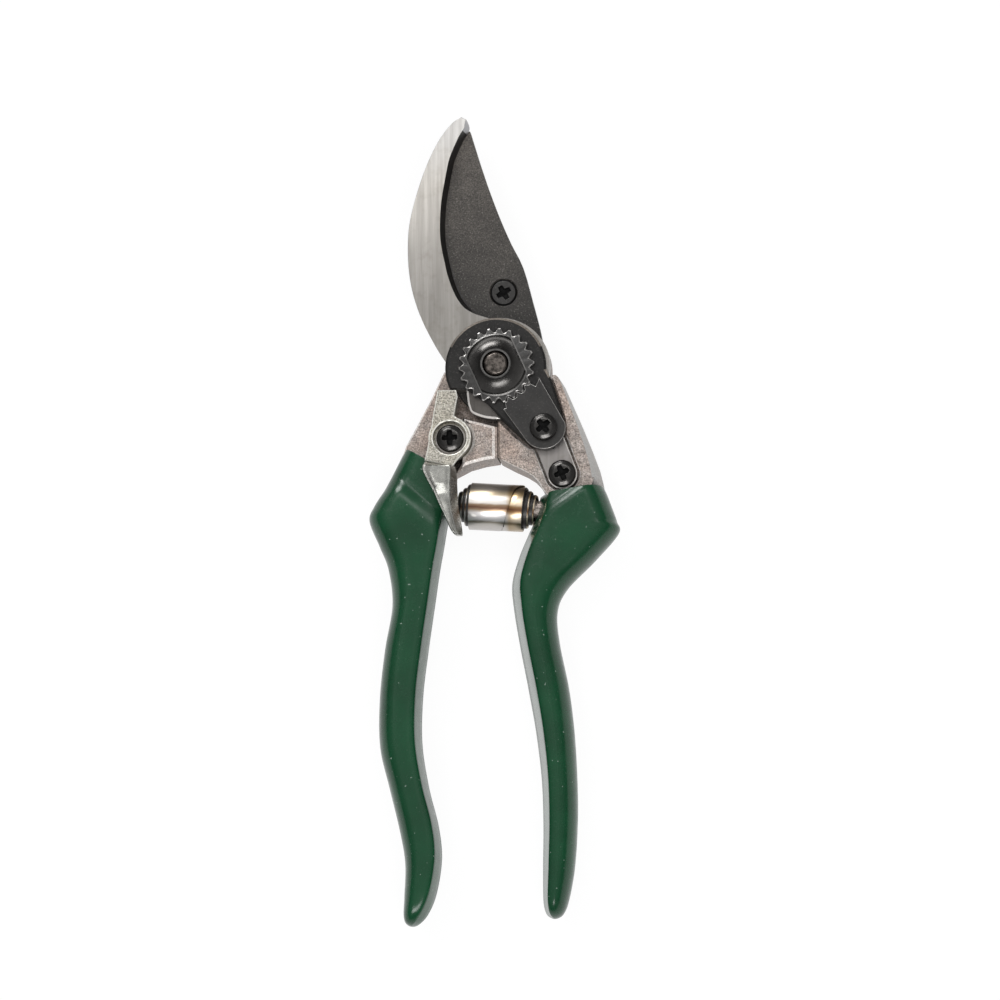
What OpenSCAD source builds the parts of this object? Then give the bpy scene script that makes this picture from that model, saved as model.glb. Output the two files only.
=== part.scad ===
// Bypass pruning shears, lying on their back, closed and locked. A black cutting blade
// and a hooked counter blade turn on one bolt. Two die cast handles with dipped grips
// carry them, and a thumb lever locks them against a volute spring.
// The origin is on the pivot axis, at the underside of the bolt's head. +Y points to the
// blade tips, +Z is up, and the blade handle is on the -X side.

/* [Pivot] */
// Diameter of the bolt's plain shank
bolt_d = 8; // [7:0.5:9]
// Diameter of the bolt's threaded end
thread_d = 6; // [5:0.5:6.5]
// Diameter of the bolt's head
bolt_head_d = 15; // [13:0.5:18]
// Height of the bolt's head
bolt_head_h = 2.6; // [2:0.2:4]
// Length of bolt that stands out of the nut
bolt_end = 0.3; // [0.1:0.1:1]
// Diameter of the washer under the casting
washer_d = 18; // [16:0.5:20]
// Thickness of that washer
washer_t = 0.8; // [0.6:0.1:1.2]
// Wall of the bush in the casting
bush_wall = 1; // [0.6:0.1:1.4]

/* [Nut] */
// Size across the two flats of the nut's hub
nut_flats = 13; // [12:0.5:14]
// Diameter of the round sides of the hub
nut_round_d = 16.3; // [14:0.1:16.5]
// Number of teeth
nut_teeth = 22; // [18:1:26]
// Diameter over the teeth
nut_tip_d = 19.4; // [18:0.1:20]
// Height of a tooth
tooth_h = 1.2; // [0.8:0.1:1.2]
// Thickness of the toothed flange
nut_flange_t = 1.6; // [1.2:0.1:2.2]
// Radius of the lock segment's round end
segment_r = 5.6; // [5.2:0.1:6]
// Height of the hub above the flange
nut_hub_h = 1.6; // [1:0.1:2.5]
// Diameter of the collar round the bolt's end
nut_collar_d = 7.8; // [7.4:0.1:10]
// Height of that collar
nut_collar_h = 0.6; // [0.3:0.1:1]
// Width of the chamfers of the bolt's end and of the nut's bore
bolt_chamfer = 0.5; // [0.3:0.1:0.6]

/* [Blades] */
// Distance from the pivot to the blade's tip
blade_reach = 62; // [56:1:66]
// Thickness of the cutting blade
blade_t = 3; // [2.4:0.1:3.4]
// Distance from the pivot to the hook's tip
hook_reach = 65; // [60:1:72]
// Thickness of the hook's plate
hook_t = 3; // [2.6:0.1:3.6]
// Diameter of the black boss under the nut
boss_d = 25.8; // [25:0.2:26.4]
// Height of that boss above the plate
boss_h = 1; // [0.6:0.1:1.4]
// Diameter of the ground flange round the boss
flange_d = 26.8; // [26.2:0.2:27.4]
// Width of the hook's narrow tail
tail_w = 7.6; // [7.4:0.1:8.4]

/* [Handles] */
// Distance from the pivot to the mouths of the grips
head_l = 29; // [29:0.5:31]
// Distance from the pivot to the ends of the handles
handle_l = 144; // [136:1:156]
// Thickness of the casting's plate under the blade
head_t = 4; // [3.4:0.1:4.4]
// Diameter of the casting round the pivot
head_d = 26.4; // [25.6:0.2:26.8]
// Thickness of the shoulders that stop the handles
shoulder_t = 10; // [9.4:0.2:11]
// Thickness of the thickest part of a grip
grip_t = 16; // [15:0.5:17]
// Wall of plastic on the casting's tang
grip_wall = 2.2; // [2:0.1:2.6]
// Thickness of the tang inside a grip
tang_t = 8; // [6:0.5:8.5]
// Gap between the two shoulders when closed
stop_gap = 0.2; // [0.1:0.05:0.4]

/* [Lock lever] */
// Thickness of the lever's plate
lever_t = 4.9; // [4.7:0.1:5.4]
// Radius of the ring round the lever's screw
lever_ring_r = 5.4; // [5.2:0.1:5.8]
// Radius of the pocket for the screw's head
lever_pocket_r = 4.35; // [4.1:0.05:4.5]
// Depth of that pocket
lever_pocket_h = 2.5; // [2.2:0.1:2.8]
// Height of the thumb tab over the plate's top
tab_rise = 2.2; // [1.5:0.1:3]

/* [Screws] */
// Diameter of the shank of the four small screws
screw_d = 4; // [3.5:0.5:4.5]
// Diameter of a small screw's head
screw_head_d = 7; // [6:0.1:7.2]
// Height of a small screw's head
screw_head_h = 1.9; // [1.6:0.1:2.2]
// Length of the arms of the cross recess
cross_w = 4.2; // [3.6:0.1:4.6]
// Depth of the cross recess
cross_h = 1.3; // [1:0.1:1.5]

/* [Spring] */
// Outer radius of the volute spring's middle wrap
spring_r = 6; // [5.6:0.1:6.4]
// Outer radius of its end coils
spring_end_r = 3.2; // [3.1:0.1:3.6]
// Turns from the middle to each end
spring_turns = 3.5; // [2.5:0.5:3.5]
// Thickness of the strip
strip_t = 0.3; // [0.2:0.05:0.3]
// Width of the strip's widest part
strip_w = 13.4; // [12:0.2:14]
// Width of the strip's narrow ends
strip_end_w = 3; // [2:0.2:4]
// Distance from the spring's middle to the seam of its two halves
strip_seam = 1.5; // [0:0.1:2]
// Radius of the cast nubs that hold the spring's ends
nub_r = 2.2; // [1.8:0.1:2.4]

/* [Clearances] */
// Radial clearance of shafts and bores
fit = 0.03; // [0.02:0.01:0.06]
// Gap between faces that slide on each other
slide_gap = 0.05; // [0.03:0.01:0.1]
// Gap round pieces that sit in pockets
pocket_gap = 0.2; // [0.1:0.05:0.3]
// Gap round the hook's tail in its casting
tail_gap = 0.6; // [0.3:0.05:0.8]

/* [Hidden] */
$fn = 64;

// Heights of the stack, from the bolt's head up
z_mid = grip_t / 2;
z_head = bolt_head_h + washer_t + slide_gap;
z_blade = z_head + head_t;
z_seat = z_blade + blade_t;
z_hook = z_seat + slide_gap;
z_plate = z_hook + hook_t;
z_boss = z_plate + boss_h;
z_shoulder = z_mid + shoulder_t / 2;
z_under = z_mid - shoulder_t / 2;
z_lever = z_seat + 2 * slide_gap;
z_lever_top = z_lever + lever_t;
z_nut = z_boss + nut_flange_t + nut_hub_h + nut_collar_h;

// Places of the small screws and the lever's pivot
lever_at = [-12, -18.4];
blade_screw_at = [1.3, 19.9];
segment_screw_at = [12.1, -16.3];
tail_screw_at = [16.6, -28];
screw_r = screw_d / 2;
screw_hole_r = screw_r + fit;
cross_arm = cross_w / 3.6;

// Centres of the boss and of the disc that trims the flange on its upper left
boss_at = [-0.35, -0.3];
flange_at = [0.45, -0.5];
// The lock's notch in the boss, and the room the turning boss needs
notch_y = -5.8;
notch_x = -7.9;
boss_room = flange_d / 2 + pocket_gap;
// Radius of the blade's round root
root_r = boss_d / 2 - 0.8;

// Directions of the nut's flats and of the lock segment
flats_angle = -62;
segment_angle = atan2(segment_screw_at[1], segment_screw_at[0]);

// The volute spring's ends and its axis
spring_from = [-11.4, -head_l - 5.6];
spring_to = [10.3, -head_l - 7.1];
spring_way = spring_to - spring_from;
spring_l = norm(spring_way);
spring_tilt = atan2(spring_way[1], spring_way[0]);
nub_l = 5;
// Distance from a spring's end coil to the end of the axis
spring_end_gap = 0.6;

// Corners of the curves along the hook: x, and the share of hook_reach along y
HOOK_OUTER = [
    [-13, 0.02], [-15.8, 0.087], [-19.1, 0.187], [-21.4, 0.287], [-22.6, 0.386],
    [-22.9, 0.486], [-22.5, 0.575], [-21.2, 0.665], [-19.3, 0.76], [-17.1, 0.845],
    [-14.5, 0.92], [-11.5, 0.977], [-9.2, 1]
];
HOOK_INNER = [
    [-7.9, 0.99], [-7.4, 0.957], [-9, 0.913], [-11.2, 0.833], [-12.3, 0.753],
    [-13.2, 0.673], [-13.6, 0.593], [-13.5, 0.514], [-12.6, 0.435], [-11.3, 0.354],
    [-9.1, 0.277], [-5.7, 0.222], [-1.3, 0.19]
];
// The blade's back and its cutting edge: x, and the share of blade_reach along y
BLADE_BACK = [
    [-7.35, 1], [-4.7, 0.86], [-2.2, 0.74], [0.5, 0.625], [3.2, 0.525], [6.2, 0.426],
    [8.8, 0.275], [10.6, 0.163], [11.4, 0.09]
];
BLADE_EDGE = [
    [-12, 0.07], [-12.9, 0.24], [-14.6, 0.36], [-15.9, 0.48], [-16.2, 0.6],
    [-15.2, 0.74], [-12.7, 0.87], [-9.4, 0.965]
];

// Stations along a grip, from its mouth to its end. Each holds the inner edge's x and
// its share of the grip's length, the same for the outer edge, and the share of the
// grip's greatest thickness.
GRIP_LOW = 0.8;
BLADE_GRIP = [
    [-10.7, -0.005, -23.9, -0.078, GRIP_LOW], [-11.2, 0.02, -26.4, -0.035, GRIP_LOW],
    [-12, 0.052, -29, 0.009, GRIP_LOW], [-12.8, 0.083, -32, 0.05, GRIP_LOW],
    [-13.3, 0.106, -33.2, 0.083, 0.82], [-14.1, 0.148, -30.6, 0.14, 0.9],
    [-15.1, 0.197, -28.3, 0.193, 0.98], [-16.3, 0.27, -27.3, 0.274, 1],
    [-18, 0.374, -29.2, 0.374, 1], [-19.4, 0.478, -30.5, 0.483, 1],
    [-19.6, 0.583, -30.4, 0.591, 1], [-17.9, 0.681, -28, 0.683, 0.98],
    [-15.4, 0.77, -25.4, 0.778, 0.94], [-14.6, 0.843, -24, 0.852, 0.9],
    [-16, 0.922, -24.2, 0.926, 0.84], [-18.4, 0.97, -24.4, 0.968, 0.66],
    [-21.2, 0.994, -23.8, 0.99, 0.32]
];
HOOK_GRIP = [
    [10.5, 0.034, 26.6, 0.014, 0.82], [9.9, 0.056, 27.6, 0.032, 0.84],
    [9.2, 0.078, 28.9, 0.062, 0.88], [8.4, 0.099, 30.1, 0.092, 0.9],
    [7.4, 0.118, 30.5, 0.118, 0.92], [5, 0.169, 24.5, 0.178, 0.96],
    [3.3, 0.226, 17.5, 0.24, 0.99], [3.6, 0.278, 14.9, 0.291, 1],
    [5.2, 0.365, 15.4, 0.361, 1], [7.4, 0.465, 17.8, 0.465, 1],
    [9.4, 0.565, 19.2, 0.565, 1], [10.8, 0.67, 19.9, 0.67, 0.98],
    [11.2, 0.774, 20, 0.765, 0.95], [11.1, 0.87, 19.2, 0.87, 0.9],
    [11.3, 0.948, 17.4, 0.95, 0.76], [12.6, 0.98, 15.4, 0.98, 0.36]
];
// The last stations that hold the tang, and the rings between two stations
BLADE_TANG_LAST = 13;
HOOK_TANG_LAST = 12;
RINGS = 3;
// Width of the slanted wall on a grip's inner side
slant_w = 2.4;
// Width of the round outer side: a share of the grip's width, up to a greatest width
round_share = 0.46;
round_most = 5.8;

// ---- Helpers -------------------------------------------------------------------

// A point on a smooth curve between b and c, with neighbours a and d
function between(a, b, c, d, t) =
    0.5 * (2 * b + (c - a) * t + (2 * a - 5 * b + 4 * c - d) * t * t
        + (3 * b - a - 3 * c + d) * t * t * t);

// A smooth open curve through every row of a list, with n steps between two rows
function smooth(rows, n = 4) =
    let (last = len(rows) - 1)
    concat(
        [for (i = [0 : last - 1], k = [0 : n - 1])
            between(rows[max(i - 1, 0)], rows[i], rows[i + 1], rows[min(i + 2, last)], k / n)],
        [rows[last]]
    );

// Rows of x and a share of a reach, as points
function along(rows, reach) = [for (r = rows) [r[0], r[1] * reach]];

// Points on an arc about a centre
function arc(centre, r, from, to, n = 12) =
    [for (k = [0 : n]) centre + r * [cos(from + (to - from) * k / n), sin(from + (to - from) * k / n)]];

module slab(from, to) {
    translate([0, 0, from]) linear_extrude(to - from) children();
}

// A hole or a shaft, upright at a place in the plan
module upright(at, r, from, to) {
    translate([at[0], at[1], from]) cylinder(h = to - from, r = r);
}

// A round disc in the plan
module disc(at, r) {
    translate(at) circle(r = r);
}

// The cross recess of a screw, its mouth at the height z
module cross_recess(z) {
    for (turn = [0, 90])
        rotate(turn)
            translate([-cross_w / 2, -cross_arm / 2, z - cross_h]) cube([cross_w, cross_arm, cross_h + 1]);
}

// A screw with a domed head that stands on the height z
module pan_screw(at, z, from, turn) {
    dome = screw_head_h * 0.55;
    rim = screw_head_d / 2;
    translate([at[0], at[1], 0]) rotate(turn) difference() {
        union() {
            rotate_extrude() polygon(concat(
                [[0, z], [rim, z], [rim, z + screw_head_h - dome]],
                [for (a = [15 : 15 : 90]) [rim * cos(a), z + screw_head_h - dome + dome * sin(a)]]
            ));
            upright([0, 0], screw_r, from, z + 0.1);
        }
        cross_recess(z + screw_head_h);
    }
}

// ---- Plan outlines ---------------------------------------------------------------

module hook_crescent_plan() {
    polygon(concat(smooth(along(HOOK_OUTER, hook_reach)), smooth(along(HOOK_INNER, hook_reach))));
}

// The tail that carries the lock segment, and the room left round it
module tail_plan(gap = 0) {
    end = tail_screw_at;
    r = tail_w / 2 + gap;
    way = segment_screw_at - tail_screw_at;
    side = [way[1], -way[0]] / norm(way) * r;
    polygon([end - side, end + side, end + way * 0.85 + side, end + way * 0.85 - side]);
    disc(end, r);
}

module shoulder_of_tail_plan(gap = 0) {
    polygon([
        [notch_x, notch_y - gap], [-2.3 - gap, -9.9 - gap], [0.8 - gap, -13.4 - gap],
        [5.6 - gap, -18 - gap], [8.5 - gap, -20.6 - gap], [14.5, -21.6 - gap],
        [16.8 + gap, -18.6], [17.3 + gap, -16.6], [17 + gap, -13.9], [15.1 + gap, -7.3],
        [13.6 + gap, -3], [10, 4]
    ]);
}

// The boss, cut away at the lower left where the lock's arm stands
module boss_plan(r) {
    difference() {
        disc(boss_at, r);
        polygon([
            [-r - 1, notch_y], [notch_x, notch_y], [-2.3, -9.9], [0.8, -13.4],
            [0.8, -r - 1], [-r - 1, -r - 1]
        ]);
    }
}

// The flange round the boss, cut away on the left where the lock's arm stands
module flange_plan() {
    difference() {
        intersection() {
            disc([0, 0], flange_d / 2);
            disc(flange_at, flange_d / 2 - 0.2);
        }
        polygon([
            [-flange_d, notch_y], [notch_x, notch_y], [-7.5, -9.3], [-6.9, -11.2], [-5.7, -12.5],
            [-4.9, -flange_d], [-flange_d, -flange_d]
        ]);
    }
}

module blade_plan() {
    polygon(concat(
        smooth(along(BLADE_BACK, blade_reach), 3), arc([0, 0], root_r, 18, -190, 24),
        smooth(along(BLADE_EDGE, blade_reach), 3)
    ));
}

// The casting's tongue under the blade
module tongue_plan() {
    polygon([
        [-10, 6], [-9.5, 18], [-6, 24.5], [-1, 26.5], [3.5, 25.6], [6, 22], [7.6, 15], [9.6, 6]
    ]);
}

// The blade side's casting, from the pivot to the grip's mouth
module blade_head_plan() {
    polygon([
        [-13.9, -0.5], [-17.3, -7.7], [-20.1, -12.9], [-23.6, -19.4], [-25, -23.6],
        [-21, -27.2], [-13, -head_l - 2.6], [-11.6, -head_l - 0.4], [-11.2, -26.8],
        [-7.5, -24.9], [-3.7, -23.9], [-stop_gap / 2, -23.4], [-stop_gap / 2, -14], [-3, -11], [0, 0]
    ]);
}

// The shoulder that meets the other handle, hollowed round the lever's ring
module blade_shoulder_plan() {
    difference() {
        polygon([
            [-8.6, -13.1], [-stop_gap / 2, -15.4], [-stop_gap / 2, -23.4], [-3.7, -23.9], [-7.5, -24.9], [-9, -25.6]
        ]);
        disc(lever_at, lever_ring_r + pocket_gap);
    }
}

// The hook side's casting, clear of a disc round the pivot
module hook_head_plan(room) {
    difference() {
        polygon([
            [12.8, -3.6], [13.4, -2.8], [14.1, -2.5], [14.9, -2.4], [15.8, -2.8], [16.4, -3.8],
            [18.4, -8.5], [21, -14.5], [23.5, -20.7], [25.3, -25.6], [26.1, -28.7],
            [26.4, -head_l - 1.2], [23.4, -head_l - 3.6], [13, -head_l - 4.6], [11.4, -head_l - 2.6],
            [10.6, -30], [9, -28.3], [7, -27], [3.9, -25.5], [0.4, -23.6],
            [stop_gap / 2, -23.2], [stop_gap / 2, -10], [10, -4]
        ]);
        disc([0, 0], room);
    }
}

// The outer rib of that casting
module hook_rib_plan() {
    difference() {
        hook_head_plan(boss_room);
        polygon([[-2, 0], [12, 0], [17.6, -17], [21.6, -27], [21.8, -40], [-2, -40]]);
    }
}

// ---- Grips -------------------------------------------------------------------------

// A station as [inner x, inner y, outer x, outer y, thickness]
function placed(rows) = [
    for (r = rows) [
        r[0], -head_l - r[1] * (handle_l - head_l), r[2], -head_l - r[3] * (handle_l - head_l), r[4] * grip_t
    ]
];

// One closed section across a grip, as points in space
function section(s) =
    let (
        inner = [s[0], s[1]],
        way = [s[2], s[3]] - inner,
        w = norm(way),
        h = s[4] / 2,
        slant = min(slant_w, w * 0.3),
        r = min(w * round_share, round_most),
        top = concat(
            [[0, 0], [slant * 0.4, 0.57], [slant * 0.68, 0.88], [slant * 0.92, 0.98], [w * 0.42, 1]],
            [for (a = [75 : -15 : 15]) [w - r + r * cos(a), sin(a) ^ 0.8]],
            [[w, 0]]
        ),
        n = len(top),
        low = [for (i = [n - 2 : -1 : 1]) [top[i][0], -top[i][1]]]
    )
    [for (p = concat(top, low)) [inner[0] + way[0] * p[0] / w, inner[1] + way[1] * p[0] / w, z_mid + h * p[1]]];

module loft(rings) {
    m = len(rings[0]);
    last = len(rings) - 1;
    sides = [
        for (i = [0 : last - 1], k = [0 : m - 1])
            each [
                [i * m + k, i * m + (k + 1) % m, (i + 1) * m + k],
                [i * m + (k + 1) % m, (i + 1) * m + (k + 1) % m, (i + 1) * m + k]
            ]
    ];
    first_cap = [[for (k = [m - 1 : -1 : 0]) k]];
    last_cap = [[for (k = [0 : m - 1]) last * m + k]];
    polyhedron([for (ring = rings) each ring], concat(sides, first_cap, last_cap), convexity = 6);
}

// The solid form of a grip
module grip_body(rows) {
    loft([for (s = smooth(placed(rows), RINGS)) section(s)]);
}

// The tang's plan, inside the wall of the grip
module tang_plan(rows, last, gap = 0) {
    stations = placed(rows);
    held = smooth([for (i = [0 : last]) stations[i]], 2);
    inset = [
        for (s = held)
            let (inner = [s[0], s[1]], way = [s[2], s[3]] - inner, unit = way / norm(way))
            [inner + unit * (grip_wall + slant_w / 2 - gap), [s[2], s[3]] - unit * (grip_wall + 0.6 - gap)]
    ];
    polygon(concat(
        [for (p = inset) p[0]],
        [for (i = [len(inset) - 1 : -1 : 0]) inset[i][1]]
    ));
}

// ---- Hook side -----------------------------------------------------------------------

// A nub that points along the spring's axis and holds one end coil
module spring_nub(at, turn, gap = 0) {
    translate([at[0], at[1], z_mid]) rotate([0, 90, turn])
        translate([0, 0, -nub_l - gap]) cylinder(h = nub_l + 3 + gap, r = nub_r + gap);
}

// The room for the spring's end coils at a handle
module spring_room(at, turn) {
    translate([at[0], at[1], z_mid]) rotate([0, 90, turn])
        translate([0, 0, -nub_l]) cylinder(h = nub_l - spring_end_gap + slide_gap, r = spring_end_r + pocket_gap);
}

module hook_handle_body(gap = 0) {
    slab(z_under - gap, z_hook) hook_head_plan(head_d / 2 + pocket_gap + 0.1);
    slab(z_mid - tang_t / 2 - gap, z_mid + tang_t / 2 + gap) tang_plan(HOOK_GRIP, HOOK_TANG_LAST, gap);
    spring_nub(spring_to, spring_tilt + 180, gap);
}

module hook_handle() {
    color("silver") difference() {
        union() {
            hook_handle_body();
            slab(z_hook, z_shoulder) hook_head_plan(boss_room);
            slab(z_hook, z_shoulder + 1) hook_rib_plan();
        }
        tail_pocket();
        upright(tail_screw_at, screw_hole_r, z_under + 2, z_shoulder + 2);
    }
}

// The room that the hook's tail takes in its casting
module tail_pocket() {
    slab(z_hook, z_shoulder + 6) {
        shoulder_of_tail_plan(tail_gap);
        tail_plan(tail_gap);
    }
}

module hook_handle_grip() {
    color("darkgreen") difference() {
        grip_body(HOOK_GRIP);
        slab(z_under - slide_gap, z_shoulder + 1 + slide_gap) hook_head_plan(boss_room);
        slab(z_mid - tang_t / 2 - slide_gap, z_mid + tang_t / 2 + slide_gap)
            tang_plan(HOOK_GRIP, HOOK_TANG_LAST, slide_gap);
        spring_nub(spring_to, spring_tilt + 180, slide_gap);
        spring_room(spring_to, spring_tilt + 180);
        tail_pocket();
    }
}

module hook_blade() {
    color("gainsboro") difference() {
        union() {
            slab(z_hook, z_plate) {
                hook_crescent_plan();
                flange_plan();
                shoulder_of_tail_plan();
                tail_plan();
            }
            slab(z_plate, z_boss) {
                boss_plan(boss_d / 2);
                shoulder_of_tail_plan();
            }
        }
        upright([0, 0], bolt_d / 2 + fit, z_hook - 1, z_boss + 1);
        upright(segment_screw_at, screw_hole_r, z_hook - 1, z_boss + 1);
        upright(tail_screw_at, screw_hole_r, z_hook - 1, z_boss + 1);
    }
}

module tail_screw() {
    color("dimgray") pan_screw(tail_screw_at, z_plate, z_under + 2.4, 22);
}

// The plate whose hollow toothed edge keeps the nut from turning
module nut_lock_segment() {
    color("dimgray") difference() {
        slab(z_boss, z_boss + nut_flange_t) difference() {
            union() {
                polygon(concat(
                    arc(segment_screw_at, segment_r, -150, 10, 16),
                    arc([0, 0], nut_tip_d / 2 + 1.8, segment_angle + 36, segment_angle - 28, 12)
                ));
                toothed_edge();
            }
            toothed_nut_plan(pocket_gap);
        }
        upright(segment_screw_at, screw_hole_r, z_boss - 1, z_boss + nut_flange_t + 1);
    }
}

// The band that reaches between the nut's teeth
module toothed_edge() {
    polygon(concat(
        arc([0, 0], nut_tip_d / 2 + 2, segment_angle - 24, segment_angle + 24, 10),
        arc([0, 0], nut_tip_d / 2 - tooth_h + pocket_gap, segment_angle + 24, segment_angle - 24, 10)
    ));
}

module segment_screw() {
    color("dimgray") pan_screw(segment_screw_at, z_boss + nut_flange_t, z_hook + 0.4, 38);
}

// The nut's toothed outline, grown by a gap
module toothed_nut_plan(gap = 0) {
    tip = nut_tip_d / 2 + gap;
    root = nut_tip_d / 2 - tooth_h + gap;
    step = 360 / nut_teeth;
    share = 0.12 + gap * 0.35;
    polygon([
        for (k = [0 : nut_teeth - 1], s = [[-share, tip], [share, tip], [0.5, root]])
            let (a = segment_angle + step * (k + 0.5 + s[0]))
            s[1] * [cos(a), sin(a)]
    ]);
}

module toothed_nut() {
    z = z_boss + nut_flange_t;
    color("dimgray") difference() {
        union() {
            slab(z_boss, z) toothed_nut_plan();
            intersection() {
                rotate_extrude() polygon([
                    [0, z], [nut_round_d / 2, z], [nut_round_d / 2, z + 0.4],
                    [nut_collar_d / 2 + 0.4, z + nut_hub_h], [0, z + nut_hub_h]
                ]);
                slab(z - 1, z_nut) rotate(flats_angle) square([nut_round_d + 1, nut_flats], center = true);
            }
            slab(z, z_nut) disc([0, 0], nut_collar_d / 2);
        }
        upright([0, 0], thread_d / 2 + fit, z_boss - 1, z_nut + 1);
        translate([0, 0, z_nut - bolt_chamfer])
            cylinder(h = 2 * bolt_chamfer, r1 = thread_d / 2 + fit, r2 = thread_d / 2 + fit + 2 * bolt_chamfer);
    }
}

module pivot_bolt() {
    edge = 0.6;
    head = bolt_head_d / 2;
    shank = bolt_d / 2;
    thread = thread_d / 2;
    end = z_nut + bolt_end;
    color("gray") rotate_extrude() polygon([
        [0, 0], [head - edge, 0], [head, edge], [head, bolt_head_h], [shank, bolt_head_h],
        [shank, z_boss - slide_gap], [thread, z_boss - slide_gap], [thread, end - bolt_chamfer],
        [thread - bolt_chamfer, end], [0, end]
    ]);
}

module pivot_washer() {
    color("lightgray") difference() {
        upright([0, 0], washer_d / 2, bolt_head_h, bolt_head_h + washer_t);
        upright([0, 0], bolt_d / 2 + fit, bolt_head_h - 1, bolt_head_h + washer_t + 1);
    }
}

// ---- Blade side ------------------------------------------------------------------------

module blade_handle() {
    color("silver") difference() {
        union() {
            slab(z_head, z_blade) {
                disc([0, 0], head_d / 2);
                tongue_plan();
            }
            slab(z_under, z_blade) difference() {
                blade_head_plan();
                disc([0, 0], washer_d / 2 + pocket_gap);
            }
            slab(z_blade, z_seat) difference() {
                blade_head_plan();
                disc([0, 0], root_r + pocket_gap);
                polygon([[-11.4, -4], [-11, -12.2], [-7, -13.4], [0, -15.3], [2, 0]]);
            }
            slab(z_seat, z_shoulder) blade_shoulder_plan();
            slab(z_mid - tang_t / 2, z_mid + tang_t / 2) difference() {
                tang_plan(BLADE_GRIP, BLADE_TANG_LAST);
                disc(lever_at, 12.4);
            }
            spring_nub(spring_from, spring_tilt);
        }
        upright([0, 0], bolt_d / 2 + fit + bush_wall + fit, z_head - 1, z_blade + 1);
        upright(blade_screw_at, screw_hole_r, z_head - 1, z_blade + 1);
        upright(lever_at, screw_hole_r, z_under + 2, z_seat + 1);
        upright(lever_at, 4.2, z_seat - 0.5, z_seat + 1);
    }
}

module blade_handle_grip() {
    color("darkgreen") difference() {
        grip_body(BLADE_GRIP);
        slab(z_under - slide_gap, z_seat + slide_gap) blade_head_plan();
        slab(z_mid - tang_t / 2 - slide_gap, z_mid + tang_t / 2 + slide_gap)
            tang_plan(BLADE_GRIP, BLADE_TANG_LAST, slide_gap);
        spring_nub(spring_from, spring_tilt, slide_gap);
    }
}

module cutting_blade() {
    color([0.24, 0.22, 0.21]) difference() {
        slab(z_blade, z_seat) blade_plan();
        upright([0, 0], bolt_d / 2 + fit, z_blade - 1, z_seat + 1);
        translate([blade_screw_at[0], blade_screw_at[1], 0]) countersink(pocket_gap);
    }
}

// The flush screw's cone and shank, grown by a gap
module countersink(gap = 0) {
    rim = screw_head_d / 2 - 0.15 + gap;
    shank = gap > 0 ? screw_hole_r : screw_r;
    bottom = gap > 0 ? z_blade - 1 : z_head + 0.4;
    top = gap > 0 ? z_seat + 1 : z_seat - 0.1;
    rotate_extrude() polygon([
        [0, bottom], [shank, bottom], [shank, z_seat - 1.6], [rim, z_seat - 0.4], [rim, top], [0, top]
    ]);
}

module blade_screw() {
    color("dimgray") translate([blade_screw_at[0], blade_screw_at[1], 0]) rotate(8) difference() {
        countersink();
        cross_recess(z_seat - 0.1);
    }
}

module pivot_bush() {
    color("goldenrod") difference() {
        upright([0, 0], bolt_d / 2 + fit + bush_wall, z_head, z_blade);
        upright([0, 0], bolt_d / 2 + fit, z_head - 1, z_blade + 1);
    }
}

// ---- Lock lever ----------------------------------------------------------------------------

// The lever's plate: the ring and the arm that stands in the boss's notch
module lever_plan() {
    disc(lever_at, lever_ring_r);
    polygon([
        [-15.1, notch_y - 0.3], [-10.4, notch_y - 0.3], [-10, -7.9], [-10.9, -12.7], [-8.4, -14.6],
        [-12, -20], [-14.6, -23.2], [-17.9, -22.6], [-17.8, -21.6], [-16.9, -16.7], [-16.1, -11.5]
    ]);
}

// The lever's foot, down to the ridge where the thumb tab rises
module lever_foot_plan() {
    polygon([
        [-17.8, -21.6], [-18.4, -24.2], [-14.4, -25.3], [-11.2, -25.9], [-10.2, -24.4], [-8, -22], [-14, -21]
    ]);
}

module thumb_tab_plan() {
    polygon([
        [-14.4, -25.3], [-18.4, -24.2], [-18.8, -26.6], [-18.1, -28.4], [-16.1, -32.4], [-13.5, -38],
        [-11.6, -42.2], [-10.5, -43.9], [-8.9, -43.9], [-8.6, -42], [-9.5, -36.6], [-9.9, -31.4],
        [-10.3, -28], [-11.2, -25.9]
    ]);
}

module lock_lever() {
    tab_z = z_mid + GRIP_LOW * grip_t / 2 + pocket_gap + 0.1;
    color("silver") difference() {
        union() {
            slab(z_lever, z_lever_top) lever_plan();
            slab(tab_z, z_lever_top) lever_foot_plan();
            slab(tab_z, z_lever_top + tab_rise) thumb_tab_plan();
        }
        upright([0, 0], boss_room + 0.1, z_lever - 1, z_boss + pocket_gap);
        upright(lever_at, screw_hole_r, z_lever - 1, z_lever_top + 5);
        upright(lever_at, lever_pocket_r, z_lever_top - lever_pocket_h, z_lever_top + 5);
    }
}

module lever_screw() {
    z = z_lever_top - lever_pocket_h + 0.6 + slide_gap;
    color("dimgray") pan_screw(lever_at, z, z_under + 2.4, 45);
}

module lever_washer() {
    z = z_lever_top - lever_pocket_h;
    color("gray") difference() {
        upright(lever_at, lever_pocket_r - 0.5, z, z + 0.6);
        upright(lever_at, screw_hole_r, z - 1, z + 2);
    }
}

module lever_spring_washer() {
    color("lightgray") difference() {
        upright(lever_at, 4, z_seat - 0.5, z_seat);
        upright(lever_at, screw_hole_r, z_seat - 2, z_seat + 1);
    }
}

// ---- Spring --------------------------------------------------------------------------------

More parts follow.
